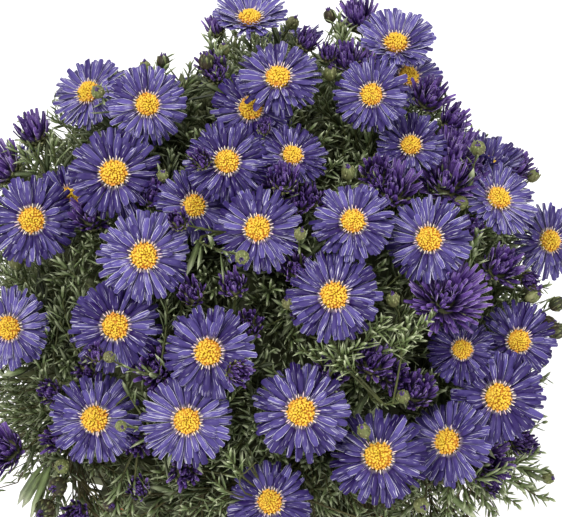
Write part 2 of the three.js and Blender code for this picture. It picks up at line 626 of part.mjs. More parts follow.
// The thicket of one stem: a net of unequal cells over its wedge, each drawn out to a tuft's tip. All tufts
// lean upwards, so they never cross, and one is lower where a flower or another stem is in its way.
function growThicket(number) {
  const random = seeded(THICKET.seed + number);
  const { share, floor, top, columns, rows, axisGap, wallGap } = THICKET;
  const radii = new THREE.Vector3(MOUND_RADIUS, MOUND_RADIUS, MOUND_RISE).multiplyScalar(share);
  const lowest = Math.asin((floor - MOUND_WIDEST) / radii.z);
  const highest = Math.asin(top);
  const azimuthAt = (across) => ((number + across / 2) * 2 * Math.PI) / STEMS - Math.PI / 2;
  const round = (across, r, z) => (
    new THREE.Vector3(Math.cos(azimuthAt(across)) * r, Math.sin(azimuthAt(across)) * r, z));
  const wayAt = (across, up) => {
    const rise = lowest + (highest - lowest) * up;
    return round(across, Math.cos(rise), Math.sin(rise));
  };
  const onFace = (across, up) => wayAt(across, up).multiply(radii).add(MOUND_MIDDLE);
  const loose = (i, count) => (i === 0 || i === count ? i : i + (random() - 0.5) * UNEVEN) / count;
  const cornerAt = (row, column) => {
    const across = 2 * loose(column, columns) - 1;
    const inwards = new THREE.Vector3(Math.sin(azimuthAt(across)), -Math.cos(azimuthAt(across)), 0);
    return onFace(across, loose(row, rows)).addScaledVector(inwards, across * wallGap);
  };
  const corners = Array.from({ length: rows + 1 }, (_, row) => (
    Array.from({ length: columns + 1 }, (__, column) => cornerAt(row, column))));
  const points = [];
  const faces = [];
  const add = (point) => points.push(point.x, point.y, point.z) / 3 - 1;
  const net = corners.map((row) => row.map(add));
  const low = add(round(0, axisGap, floor));
  const high = add(round(0, axisGap, MOUND_WIDEST + radii.z * top));
  const inTheWay = [...blooms, ...tips, ...skeleton.filter((other) => other.owner !== number)];
  for (let row = 0; row < rows; row++) {
    for (let column = 0; column < columns; column++) {
      const across = (2 * column + 1 + (random() - 0.5) * UNEVEN) / columns - 1;
      const up = (row + 0.5 + (random() - 0.5) * UNEVEN) / rows;
      const lean = wayAt(across, up).divide(radii).normalize().add(TUFT_LEAN).normalize();
      const rise = TUFT_RISE * (0.6 + random() * 0.8);
      const peakAt = (part) => onFace(across, up).addScaledVector(lean, rise * part);
      const cell = [[row, column], [row, column + 1], [row + 1, column + 1], [row + 1, column]];
      const tuft = (part) => solidOf(facetedGeometry(
        [...cell.map(([r, c]) => corners[r][c]), peakAt(part)].flatMap((point) => point.toArray()),
        [0, 1, 4, 1, 2, 4, 2, 3, 4, 3, 0, 4, 0, 2, 1, 0, 3, 2]));
      const peak = add(peakAt(TUFT_SHARES.find((part) => isClear(boxed(tuft(part)), inTheWay, CLEAR))));
      const around = cell.map(([r, c]) => net[r][c]);
      around.forEach((corner, i) => faces.push(corner, around[(i + 1) % 4], peak));
    }
  }
  for (let column = 0; column < columns; column++) {
    faces.push(net[0][column], low, net[0][column + 1], net[rows][column], net[rows][column + 1], high);
  }
  for (let row = 0; row < rows; row++) {
    faces.push(low, net[row + 1][columns], net[row][columns], low, net[row][0], net[row + 1][0]);
  }
  faces.push(low, high, net[rows][columns], low, net[rows][0], high);
  return boxed(solidOf(facetedGeometry(points, faces)), number);
}

// A whorl of leaves between two joints of a stem; a leaf that meets another piece is grown shorter
function growWhorl({ number, piece: own, joints: along }, j, spin, leafLength) {
  const others = [...skeleton, ...tips, ...leaves].filter((other) => other !== own);
  const foreign = [...bloomPieces, ...[...others, ...thickets].filter((other) => other.owner !== number)];
  const kin = others.filter((other) => other.owner === number);
  const point = along[j - 1].point.clone().lerp(along[j].point, 0.55);
  if (shareOf(point) < THICKET.share + 0.05) return;
  const way = along[j].point.clone().sub(along[j - 1].point).normalize();
  const place = matrixOf(point, turnTo(way, spin)).elements;
  const hub = along[j].r + HUB_MARGIN;
  const set = (geometry) => boxed(solidOf(geometry).transform(place), number);
  const fits = (piece) => isClear(piece, foreign, CLEAR) && isClear(piece, kin, KIN_CLEAR);
  const pitches = Array.from({ length: WHORL_LEAVES }, () => 0.3 + random() * 0.5);
  const lengths = pitches.map(() => 3 * hub);
  if (!fits(set(whorlGeometry(lengths, pitches, hub)))) return;
  for (let leaf = 0; leaf < WHORL_LEAVES; leaf++) {
    const full = leafLength * (0.85 + random() * 0.35);
    const angle = (leaf * 2 * Math.PI) / WHORL_LEAVES;
    const share = LEAF_SHARES.find((part) => fits(set(bladeGeometry(full * part, pitches[leaf], angle, hub))));
    if (share) lengths[leaf] = full * share;
  }
  const whorl = set(whorlGeometry(lengths, pitches, hub));
  if (isClear(whorl, foreign, CLEAR)) leaves.push(whorl);
}

// Branches to the blooms, then the half-open heads and the buds on theirs
for (const { middle, facing, owner } of blooms) {
  growBranch(middle.clone().addScaledVector(facing, -SEAT_DEPTH - GAP), facing, owner);
}
for (const [i, place] of [...FACE_HEADS.map(facePlace), ...hiddenPlaces(HIDDEN_HEADS)].entries()) {
  growTip(place, headGeometry(place.across), i);
}
for (const [i, place] of [...FACE_BUDS.map(facePlace), ...hiddenPlaces(HIDDEN_BUDS)].entries()) {
  growTip(place, budGeometry(place.across), i);
}

// Room for the branches that pass between a bloom's rays
for (const clearing of clearings) {
  for (const bloom of blooms) {
    if (bloom.owner === clearing.bloom || !boxesMeet(bloom.box, clearing.box, 0)) continue;
    bloom.solid = largestBody(bloom.solid.subtract(clearing.solid));
  }
}
const bloomPieces = blooms.map((bloom) => boxed(bloom.solid));

// The thickets, then whorls on the branches outside them
const thickets = trunks.map((_, i) => growThicket(i));
for (const [i, branch] of branches.entries()) {
  for (let j = 1; j < branch.joints.length; j++) {
    if (random() < WHORL_SHARE) growWhorl(branch, j, i, LEAF_LENGTH);
  }
}

const plant = new THREE.Group();

function addMesh(name, geometry, material) {
  const mesh = new THREE.Mesh(geometry, material);
  mesh.name = name;
  plant.add(mesh);
  return mesh;
}

addMesh('pot', geometryOf(potSolid()), CLAY);
addMesh('compost', geometryOf(compostSolid(trunks.map((trunk) => trunk.joints[0].point))), COMPOST);
for (let i = 0; i < STEMS; i++) {
  const own = [...thickets, ...skeleton, ...tips, ...leaves].filter((piece) => piece.owner === i);
  const body = largestBody(join(own.map((piece) => piece.solid)));
  addMesh(`leafy_stem_${i + 1}`, geometryOf(body.simplify(TRIM)), FOLIAGE);
}
for (const [i, bloom] of blooms.entries()) {
  const local = bloom.solid.transform(matrixOf(bloom.middle, bloom.turn).invert().elements);
  const mesh = addMesh(`bloom_${String(i + 1).padStart(2, '0')}`, geometryOf(local), PETAL);
  mesh.position.copy(bloom.middle);
  mesh.quaternion.copy(bloom.turn);
}

export default plant;
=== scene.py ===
import math

import bmesh
import bpy
import numpy as np
from mathutils import Matrix, Quaternion, Vector, noise
from mathutils.bvhtree import BVHTree


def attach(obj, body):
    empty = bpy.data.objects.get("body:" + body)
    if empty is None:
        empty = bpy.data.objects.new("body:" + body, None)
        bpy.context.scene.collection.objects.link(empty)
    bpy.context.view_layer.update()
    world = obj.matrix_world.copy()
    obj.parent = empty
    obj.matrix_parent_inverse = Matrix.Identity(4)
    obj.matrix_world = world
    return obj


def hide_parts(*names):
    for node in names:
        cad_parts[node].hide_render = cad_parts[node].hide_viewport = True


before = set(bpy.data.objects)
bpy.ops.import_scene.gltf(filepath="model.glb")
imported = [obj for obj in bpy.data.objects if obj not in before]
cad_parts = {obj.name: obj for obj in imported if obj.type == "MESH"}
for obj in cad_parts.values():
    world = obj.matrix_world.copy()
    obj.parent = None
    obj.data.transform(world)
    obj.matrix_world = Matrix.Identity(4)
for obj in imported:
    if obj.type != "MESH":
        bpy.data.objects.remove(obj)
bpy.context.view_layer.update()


# The view and the floor
# The plant stands on a plain pale floor that runs up into a backdrop, in soft light from the front and above.
# The camera is a metre off and thirty degrees above the mound, where the photograph was taken from.
MM = 0.001
FRAME_WIDTH, FRAME_HEIGHT = 562, 517
PIXEL = 0.5 * MM
SIGHT_ELEVATION = math.radians(30)
SIGHT_DISTANCE = 1.0
MOUND_MIDDLE_PIXEL = (258, 330)
SENSOR = 36.0
FLOOR_REACH, BACKDROP_CURVE = 3.0, 1.2
# Each lamp: its name, where it stands, its size and its power. All are turned to one point in the mound
LAMPS = (("key", (-0.7, -1.5, 1.9), 0.8, 34), ("fill", (1.5, -1.2, 0.9), 1.4, 12),
         ("top", (0.2, 0.5, 2.2), 1.2, 16))
LAMPS_MEET, SKY_STRENGTH = Vector((0, 0, 0.22)), 0.45
MOUND_MIDDLE = np.array([0, 0, 205 * MM])
RIGHT = np.array([1.0, 0, 0])
UP = np.array([0, math.sin(SIGHT_ELEVATION), math.cos(SIGHT_ELEVATION)])
BACK = np.array([0, -math.cos(SIGHT_ELEVATION), math.sin(SIGHT_ELEVATION)])
LOOK_AT = (MOUND_MIDDLE + RIGHT * (FRAME_WIDTH / 2 - MOUND_MIDDLE_PIXEL[0]) * PIXEL
           + UP * (MOUND_MIDDLE_PIXEL[1] - FRAME_HEIGHT / 2) * PIXEL)
EYE = LOOK_AT + BACK * SIGHT_DISTANCE

camera = bpy.data.objects.new("camera", bpy.data.cameras.new("camera"))
camera.data.sensor_width = SENSOR
camera.data.lens = SENSOR * SIGHT_DISTANCE / (FRAME_WIDTH * PIXEL)
camera.location = EYE
camera.rotation_euler = (math.pi / 2 - SIGHT_ELEVATION, 0, 0)
bpy.context.collection.objects.link(camera)
bpy.context.scene.camera = camera
bpy.context.scene.view_settings.view_transform = "Standard"


def paint(name, roughness, **sockets):
    """A material with its Principled BSDF, and the tree to build on."""
    material = bpy.data.materials.new(name)
    material.use_nodes = True
    shader = material.node_tree.nodes["Principled BSDF"]
    shader.inputs["Roughness"].default_value = roughness
    for socket, value in sockets.items():
        shader.inputs[socket.replace("_", " ")].default_value = value
    return material, material.node_tree, shader


floor_paint, _, _ = paint("floor_white", 0.9, Base_Color=(0.93, 0.93, 0.93, 1),
                          Emission_Color=(1, 1, 1, 1), Emission_Strength=0.32)
sweep = bmesh.new()
bmesh.ops.create_grid(sweep, x_segments=1, y_segments=1, size=FLOOR_REACH)
back_edge = [e for e in sweep.edges if all(v.co.y > 0 for v in e.verts)]
raised = bmesh.ops.extrude_edge_only(sweep, edges=back_edge)["geom"]
raised = [v for v in raised if isinstance(v, bmesh.types.BMVert)]
bmesh.ops.translate(sweep, vec=(0, 0, FLOOR_REACH), verts=raised)
bmesh.ops.bevel(sweep, geom=back_edge, offset=BACKDROP_CURVE, segments=12, profile=0.5, affect="EDGES",
                material=-1)
floor_mesh = bpy.data.meshes.new("floor")
sweep.to_mesh(floor_mesh)
floor_mesh.materials.append(floor_paint)
floor = bpy.data.objects.new("floor", floor_mesh)
bpy.context.collection.objects.link(floor)

for name, where, size, power in LAMPS:
    lamp = bpy.data.lights.new(name, "AREA")
    lamp.size = size
    lamp.energy = power
    light = bpy.data.objects.new(name, lamp)
    light.location = where
    light.rotation_euler = (Vector(where) - LAMPS_MEET).to_track_quat("Z", "Y").to_euler()
    bpy.context.collection.objects.link(light)
world = bpy.data.worlds.new("studio")
world.use_nodes = True
world.node_tree.nodes["Background"].inputs["Color"].default_value = (1, 1, 1, 1)
world.node_tree.nodes["Background"].inputs["Strength"].default_value = SKY_STRENGTH
bpy.context.scene.world = world


# The pot
# A flared flowerpot of fired clay, turned on a wheel, with a band under its rim and three drain holes in its
# floor. It is unglazed, so it keeps faint turning rings, and lime from the water dries on it in pale patches.
# Its outline, as radius and height in mm
POT_OUTLINE = (
    (0, 0.7), (45, 0.7), (46.5, 0), (51, 0), (52.1, 1.1), (71.5, 93.2), (72.3, 94.2), (74.4, 95.2),
    (75.2, 96.6), (76, 116.4), (75.6, 118.5), (74.2, 120), (71.6, 120), (70.1, 118.6), (49, 7), (46.8, 5),
    (0, 5))
POT_TURNS = 96
DRAIN_HOLES, DRAIN_RADIUS, DRAIN_RING, DRILL_LENGTH = 3, 6 * MM, 30 * MM, 30 * MM
# Heights between which the lime fades upwards and the rim's wear grows
LIME_FADES, RIM_WEARS = (20 * MM, 100 * MM), (115.5 * MM, 119.5 * MM)


def tone(red, green, blue):
    """A colour from its screen values, 0 to 255."""
    return tuple((c / 255) ** 2.2 for c in (red, green, blue)) + (1,)


def link(tree, value, socket):
    """Puts a value or another node's output on a socket."""
    if isinstance(value, bpy.types.NodeSocket):
        tree.links.new(value, socket)
    else:
        socket.default_value = value


def node(tree, kind, settings=(), **inputs):
    """A shader node with its settings and its inputs."""
    made = tree.nodes.new("ShaderNode" + kind)
    for name, value in dict(settings).items():
        setattr(made, name, value)
    for name, value in inputs.items():
        link(tree, value, made.inputs[name.replace("_", " ")])
    return made


def sum_up(tree, operation, first, second=0.0, third=0.0):
    """The result of a Math node."""
    made = node(tree, "Math", {"operation": operation})
    for socket, value in zip(made.inputs, (first, second, third)):
        link(tree, value, socket)
    return made.outputs[0]


def mixed(tree, share, first, second):
    """Two colours mixed by a share."""
    made = node(tree, "Mix", {"data_type": "RGBA"})
    for number, value in ((0, share), (6, first), (7, second)):
        link(tree, value, made.inputs[number])
    return made.outputs[2]


def step_up(tree, value, start, end):
    """A value spread over 0 to 1 between two marks, with soft ends."""
    made = node(tree, "MapRange", {"interpolation_type": "SMOOTHSTEP"}, Value=value, From_Min=start,
                From_Max=end)
    return made.outputs[0]


def noise_of(tree, vector, scale, detail, roughness=0.5):
    """Noise from 0 to 1 on a vector."""
    made = node(tree, "TexNoise", Vector=vector, Scale=scale, Detail=detail, Roughness=roughness)
    return made.outputs["Fac"]


def bump_up(tree, shader, height, strength, distance):
    """Relief from a height, on a shader's normal."""
    relief = node(tree, "Bump", Height=height, Strength=strength, Distance=distance)
    tree.links.new(relief.outputs[0], shader.inputs["Normal"])


def make_mottle():
    """Soft patches and fine grain for clay, compost, stalks and leaves, from a piece's own coordinates."""
    group = bpy.data.node_groups.new("mottle", "ShaderNodeTree")
    for name, value in (("Patch Scale", 20.0), ("Grain Scale", 900.0)):
        group.interface.new_socket(name, in_out="INPUT", socket_type="NodeSocketFloat").default_value = value
    for name in ("Patches", "Grain"):
        group.interface.new_socket(name, in_out="OUTPUT", socket_type="NodeSocketFloat")
    given, out = group.nodes.new("NodeGroupInput"), group.nodes.new("NodeGroupOutput")
    where = node(group, "TexCoord").outputs["Object"]
    patches = noise_of(group, where, given.outputs["Patch Scale"], 4.0, 0.6)
    grain = noise_of(group, where, given.outputs["Grain Scale"], 3.0, 0.65)
    group.links.new(step_up(group, patches, 0.32, 0.68), out.inputs["Patches"])
    group.links.new(grain, out.inputs["Grain"])
    return group


def mottle_in(tree, patch_scale, grain_scale):
    """The mottle's two outputs in a material."""
    made = node(tree, "Group", {"node_tree": mottle}, Patch_Scale=patch_scale, Grain_Scale=grain_scale)
    return made.outputs["Patches"], made.outputs["Grain"]


def place(mesh, name, material, slot, replaces=()):
    """A finished mesh as a piece of the plant, which rides on its one body."""
    piece = bpy.data.objects.new(name, mesh)
    mesh.materials.append(material)
    bpy.context.collection.objects.link(piece)
    if replaces:
        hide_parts(*replaces)
    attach(piece, "root")


def turned_from(outline, steps, scale=MM):
    """A shape turned on a wheel from its outline, given as radius and height."""
    shape = bmesh.new()
    points = [shape.verts.new((x * scale, 0, z * scale)) for x, z in outline]
    edges = [shape.edges.new(pair) for pair in zip(points, points[1:])]
    bmesh.ops.spin(shape, geom=points + edges, axis=(0, 0, 1), cent=(0, 0, 0), angle=2 * math.pi, steps=steps,
                   use_merge=True)
    bmesh.ops.remove_doubles(shape, verts=shape.verts, dist=1e-6)
    return shape


mottle = make_mottle()
clay, tree, shader = paint("fired_clay", 0.86, Specular_IOR_Level=0.25)
where = node(tree, "TexCoord").outputs["Object"]
height_up = node(tree, "SeparateXYZ", Vector=where).outputs["Z"]
patches, grain = mottle_in(tree, 26.0, 1300.0)
body_tone = mixed(tree, patches, tone(158, 84, 52), tone(190, 112, 74))
pitted = sum_up(tree, "MULTIPLY", step_up(tree, grain, 0.5, 0.75), 0.5)
body_tone = mixed(tree, pitted, body_tone, tone(118, 58, 36))
lime = step_up(tree, noise_of(tree, where, 38.0, 5.0, 0.7), 0.56, 0.72)
lime = sum_up(tree, "MULTIPLY", lime, step_up(tree, height_up, LIME_FADES[1], LIME_FADES[0]))
body_tone = mixed(tree, sum_up(tree, "MULTIPLY", lime, 0.55), body_tone, tone(214, 192, 170))
worn = sum_up(tree, "MULTIPLY", step_up(tree, height_up, *RIM_WEARS), step_up(tree, grain, 0.35, 0.6))
body_tone = mixed(tree, sum_up(tree, "MULTIPLY", worn, 0.6), body_tone, tone(214, 146, 104))
tree.links.new(body_tone, shader.inputs["Base Color"])
rings = node(tree, "TexWave", {"bands_direction": "Z"}, Vector=where, Scale=95.0, Distortion=3.0, Detail=2.0)
relief = sum_up(tree, "ADD", sum_up(tree, "MULTIPLY", rings.outputs["Fac"], 0.35), grain)
bump_up(tree, shader, relief, 0.5, 0.0005)
tree.links.new(sum_up(tree, "MULTIPLY_ADD", grain, 0.25, 0.72), shader.inputs["Roughness"])

wall = turned_from(POT_OUTLINE, POT_TURNS)
bmesh.ops.recalc_face_normals(wall, faces=wall.faces)
wall_mesh = bpy.data.meshes.new("pot_wall")
wall.to_mesh(wall_mesh)
drills = bmesh.new()
for turn in range(DRAIN_HOLES):
    heading = turn * 2 * math.pi / DRAIN_HOLES
    middle = Vector((math.cos(heading), math.sin(heading), 0)) * DRAIN_RING
    bmesh.ops.create_cone(drills, cap_ends=True, segments=24, radius1=DRAIN_RADIUS, radius2=DRAIN_RADIUS,
                          depth=DRILL_LENGTH, matrix=Matrix.Translation(middle))
drill_mesh = bpy.data.meshes.new("drills")
drills.to_mesh(drill_mesh)
blank, drill = bpy.data.objects.new("pot_blank", wall_mesh), bpy.data.objects.new("pot_drill", drill_mesh)
for thing in (blank, drill):
    bpy.context.collection.objects.link(thing)
drilling = blank.modifiers.new("drain_holes", "BOOLEAN")
drilling.operation, drilling.solver, drilling.object = "DIFFERENCE", "EXACT", drill
pot_mesh = bpy.data.meshes.new_from_object(blank.evaluated_get(bpy.context.evaluated_depsgraph_get()))
for thing in (blank, drill):
    bpy.data.objects.remove(thing)
pot_mesh.shade_smooth()
pot_mesh.set_sharp_from_angle(angle=math.radians(40))
place(pot_mesh, "pot_shell", clay, "clay", replaces=["pot"])


# The compost
# Dark peat compost with bark crumbs and a few white grains of perlite, filled in loose to below the pot's rim
# round the stems. Its top is heaped a little towards the crown.
# Its outline, as radius and height in mm
COMPOST_OUTLINE = (
    (0, 109), (8, 108.8), (16, 108.4), (24, 108), (32, 107.6), (40, 107.2), (47, 107), (54, 107),
    (60, 106.4), (65, 104.8), (66.2, 103), (56, 50), (47.4, 5.4), (0, 5.4))
COMPOST_TURNS = 80
LOOSE_TOP, LUMP, SMALL_LUMP = 105.5 * MM, 2.2 * MM, 1.2 * MM
CRUMBS, CRUMBS_REACH = 800, 64 * MM
HEAP_TOP, HEAP_FALL, HEAP_REACH = 109.2 * MM, 1.6 * MM, 60 * MM
SMALLEST_CRUMB, CRUMB_SPREAD = 0.5 * MM, 1.6 * MM


def pattern_of(shape, outline=None):
    """A small shape to be set out many times: its points, its faces' corners and a UV map along X and
    across Y. The outline narrows it across, by its places along it."""
    bmesh.ops.recalc_face_normals(shape, faces=shape.faces)
    mesh = bpy.data.meshes.new("pattern")
    shape.to_mesh(mesh)
    shape.free()
    points = np.array([v.co for v in mesh.vertices])
    corners = np.array([loop.vertex_index for loop in mesh.loops])
    sizes = np.array([face.loop_total for face in mesh.polygons])
    bpy.data.meshes.remove(mesh)
    uv = points[corners][:, :2] * (1, 0.5) + (0, 0.5)
    if outline:
        points[:, 1] *= np.interp(points[:, 0], *zip(*outline))
    return {"points": points, "corners": corners, "sizes": sizes, "uv": uv}


def mesh_of(name, *sets):
    """One mesh of many copies. Each set is a pattern, where each copy's points are, and each copy's tint."""
    points, corners, sizes, uv, tints = [], [], [], [], []
    start = 0
    for pattern, spots, tint in sets:
        copies, each = spots.shape[:2]
        points.append(spots.reshape(-1, 3))
        corners.append((pattern["corners"] + (np.arange(copies) * each)[:, None] + start).ravel())
        sizes.append(np.tile(pattern["sizes"], copies))
        uv.append(np.tile(pattern["uv"], (copies, 1)))
        tints.append(np.repeat(tint, each))
        start += copies * each
    points, corners, sizes, uv, tints = (np.concatenate(part) for part in (points, corners, sizes, uv, tints))
    mesh = bpy.data.meshes.new(name)
    mesh.vertices.add(len(points))
    mesh.vertices.foreach_set("co", points.ravel())
    mesh.loops.add(len(corners))
    mesh.loops.foreach_set("vertex_index", corners)
    mesh.polygons.add(len(sizes))
    mesh.polygons.foreach_set("loop_start", np.cumsum(sizes) - sizes)
    mesh.uv_layers.new(name="along").data.foreach_set("uv", uv.ravel())
    mesh.attributes.new("tint", "FLOAT", "POINT").data.foreach_set("value", tints)
    mesh.update(calc_edges=True)
    mesh.validate()
    mesh.shade_smooth()
    return mesh


def set_out(points, roots, frames):
    """Copies of points, each turned into its own frame (rows: its X, Y and Z) and moved to its root."""
    return np.einsum("nmi,nij->nmj", points, frames) + roots[:, None]


def any_turns(rng, count):
    """Frames that are turned at random."""
    turns = [Quaternion(q).normalized().to_matrix() for q in rng.normal(size=(count, 4))]
    return np.array([np.array(turn) for turn in turns])


def own_tint(tree):
    """The tint that each copy carries on its points."""
    return node(tree, "Attribute", {"attribute_name": "tint"}).outputs["Fac"]


peat, tree, shader = paint("peat_compost", 0.97, Specular_IOR_Level=0.15)
tint = own_tint(tree)
patches, grain = mottle_in(tree, 60.0, 1700.0)
peat_tone = mixed(tree, patches, tone(38, 27, 20), tone(66, 48, 35))
peat_tone = mixed(tree, step_up(tree, grain, 0.48, 0.7), peat_tone, tone(88, 66, 48))
peat_tone = mixed(tree, step_up(tree, tint, 0.35, 0.9), peat_tone, tone(104, 72, 46))
peat_tone = mixed(tree, step_up(tree, tint, 0.955, 0.96), peat_tone, tone(214, 208, 196))
tree.links.new(peat_tone, shader.inputs["Base Color"])
bump_up(tree, shader, grain, 0.9, 0.0008)

bed = turned_from(COMPOST_OUTLINE, COMPOST_TURNS)
for vert in bed.verts:
    if vert.co.z > LOOSE_TOP and vert.co.xy.length > 0.1 * MM:
        vert.co.z += LUMP * noise.noise(vert.co * 70) + SMALL_LUMP * noise.noise(vert.co * 260)
crumb = bmesh.new()
bmesh.ops.create_icosphere(crumb, subdivisions=1, radius=1)
for vert in crumb.verts:
    vert.co *= 1 + 0.35 * noise.noise(vert.co * 1.7)
crumb = pattern_of(crumb)
bed = pattern_of(bed)
rng = np.random.default_rng(5)
spread = CRUMBS_REACH * np.sqrt(rng.random(CRUMBS))
heading = rng.random(CRUMBS) * 2 * math.pi
roots = np.stack([np.cos(heading) * spread, np.sin(heading) * spread,
                  HEAP_TOP - HEAP_FALL * (spread / HEAP_REACH) ** 2], -1)
sizes = SMALLEST_CRUMB + CRUMB_SPREAD * rng.random((CRUMBS, 1, 1)) ** 2.5
sizes = sizes * rng.uniform((1, 0.6, 0.35), (1.9, 1, 0.8), (CRUMBS, 1, 3))
crumbs = set_out(crumb["points"][None] * sizes, roots, any_turns(rng, CRUMBS))
compost_mesh = mesh_of("compost", (bed, bed["points"][None], np.array([0.1])),
                       (crumb, crumbs, rng.random(CRUMBS)))
place(compost_mesh, "compost_bed", peat, "compost", replaces=["compost"])


# The stems
# Six green stems, flushed with purple-brown, rise from one crown and fork into a stalk for every flower. They
# follow the plant's own rule of growth, and where that leaves a choice, what the solid stems show.
MOUND_RADII = np.array([151, 151, 172]) * MM
STEMS = 6
CROWN_RADIUS, TRUNK_BEND_RADIUS, TRUNK_TOP_RADIUS = 15 * MM, 34 * MM, 66 * MM
COMPOST_TOP, ROOTED_DEPTH = 107 * MM, 26 * MM
TRUNK_UPRIGHT, TRUNK_TOP_RISE = 55 * MM, 88 * MM
TRUNK_STEPS, BARE_JOINTS = 9, 3
TRUNK_THICK, BRANCH_THICK, TAPER = 2.4 * MM, 1.0 * MM, 0.75
BRANCH_SIDES = 3
LONG_BRANCH, SHORTEST_BRANCH = 55 * MM, 22 * MM
SIDE_BENDS = np.array([0, 4, -4, 8, -8, 12, -12, 16, -16, 22, -22, 30, -30]) * MM
FREE_LEAN, FREE_ARRIVAL, TURN_COST = 0.75, 0.9, 3
STUBBY_COST, SHARED_COST = 60 * MM, 14 * MM
SEAT_DEPTH, SEAT_GAP = 7.5 * MM, 0.3 * MM
# How far a bend's two middle ends lie from its fork and its seat, as shares of the way
FORK_PULL, SEAT_PULL = 0.3, 0.36
# What counts as before a flower: from under its face to this far over it, and as near its axis as this share
CLEAR_FROM, CLEAR_TO, CLEAR_SHARE = -1.8 * MM, 40 * MM, 0.93


def unit(vector):
    """A vector's way, a unit long."""
    return vector / np.linalg.norm(vector)


def angle_between(one, other):
    """The angle between two ways, in radians."""
    return math.acos(np.clip(unit(one) @ unit(other), -1, 1))


def along_bend(ends, shares):
    """Points and directions of a smooth bend through four ends, at shares of its own length."""
    ends = np.array(ends)

    def point(t):
        t = t[:, None]
        return (ends[0] * (1 - t) ** 3 + 3 * ends[1] * t * (1 - t) ** 2 + 3 * ends[2] * t * t * (1 - t)
                + ends[3] * t ** 3)

    grid = np.linspace(0, 1, 201)
    reach = np.concatenate([[0], np.cumsum(np.linalg.norm(np.diff(point(grid), axis=0), axis=1))])
    t = np.interp(np.asarray(shares) * reach[-1], reach, grid)
    first, second, third = np.diff(ends, axis=0)
    slope = np.stack([(1 - t) ** 2, 2 * t * (1 - t), t * t], -1) @ np.array([first, second, third])
    return point(t), slope / np.linalg.norm(slope, axis=1)[:, None]


def joints_of(ends, radius, steps, joint):
    """The joints of a stalk that leaves another joint, each with its ring's radius and first side."""
    joints = []
    side = joint["side"]
    for i, (point, way) in enumerate(zip(*along_bend(ends, np.arange(steps + 1) / steps))):
        r = min(radius * (1 - (1 - TAPER) * i / steps), joint["r"] * 0.85 if i == 0 else radius)
        side = unit(side - way * (side @ way))
        joints.append({"point": point, "way": way, "side": side, "r": r, "uses": 0})
    return joints


def ring_of(joint):
    """The corners of the ring that a solid stalk has at a joint."""
    across = np.cross(joint["way"], joint["side"])
    turns = np.arange(BRANCH_SIDES) * 2 * math.pi / BRANCH_SIDES
    return [joint["point"] + joint["r"] * (math.cos(a) * joint["side"] + math.sin(a) * across) for a in turns]


def stem_at(point):
    """The stem whose sixth of the mound holds a point."""
    return round((math.atan2(point[1], point[0]) + math.pi / 2) / (2 * math.pi) * STEMS) % STEMS


def forks_for(seat, facing, joints):
    """The two joints from which a branch reaches a seat by the shortest way that leans off gently."""
    def cost(joint):
        line = seat - joint["point"]
        reach = np.linalg.norm(line)
        turn = (max(0, angle_between(joint["way"], line) - FREE_LEAN)
                + max(0, angle_between(facing, line) - FREE_ARRIVAL))
        stubby = max(0, 1 - reach / SHORTEST_BRANCH)
        return reach * (1 + TURN_COST * turn) + STUBBY_COST * stubby + SHARED_COST * joint["uses"]
    return sorted(joints, key=cost)[:2]


def surface_of(name):
    """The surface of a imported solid, to ask how far points lie off it."""
    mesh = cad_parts[name].data
    return BVHTree.FromPolygons([v.co for v in mesh.vertices], [p.vertices for p in mesh.polygons])


def off_stem(number, points):
    """How far points lie off a solid stem on average. Those that its crowded shoots cover count as on it."""
    offs = []
    for point in points:
        nearest, normal, _, off = solid_stems[number].find_nearest(Vector(point))
        offs.append(off if (Vector(point) - nearest).dot(normal) > 0 else 0)
    return sum(offs) / len(offs)


def before_a_flower(points):
    """Whether points stand over an open flower's face."""
    hidden = np.zeros(len(points), bool)
    for bloom in blooms:
        off = points - bloom["middle"]
        rise = off @ bloom["facing"]
        aside = np.linalg.norm(off - np.outer(rise, bloom["facing"]), axis=1)
        hidden |= (rise > CLEAR_FROM) & (rise < CLEAR_TO) & (aside < bloom["radius"] * CLEAR_SHARE)
    return hidden


def grow_branch(seat, facing, in_solid=True):
    """A branch to a seat, from the fork and with the bend that the solid stem shows. Where the solids have no
    such branch, it keeps off the flowers."""
    number = stem_at(seat)
    sideways = unit(np.array([-seat[1], seat[0], 0]))
    nearest_forks = forks_for(seat, facing, forks[number])
    found = []
    for joint, bend in ((joint, bend) for joint in nearest_forks for bend in SIDE_BENDS):
        reach = np.linalg.norm(seat - joint["point"])
        steps = 3 if reach > LONG_BRANCH else 2
        ends = [joint["point"], joint["point"] + joint["way"] * reach * FORK_PULL + sideways * bend,
                seat - facing * reach * SEAT_PULL + sideways * bend, seat]
        joints = joints_of(ends, BRANCH_THICK, steps, joint)
        if in_solid:
            rings = np.array([ring_of(j) for j in joints])
            between = [rings[:-1] + np.diff(rings, axis=0) * t for t in (0.3, 0.65, 1)]
            off = off_stem(number, np.concatenate(between).reshape(-1, 3))
        else:
            off = before_a_flower(along_bend(ends, np.linspace(0, 1, 24))[0]).sum()
        found.append((off, ends, joints, joint))
    _, ends, joints, joint = min(found, key=lambda way: way[0])
    joint["uses"] += 1
    forks[number] += joints[1:-1]
    branches[number].append({"ends": ends, "from": joints[0]["r"], "to": joints[-1]["r"]})


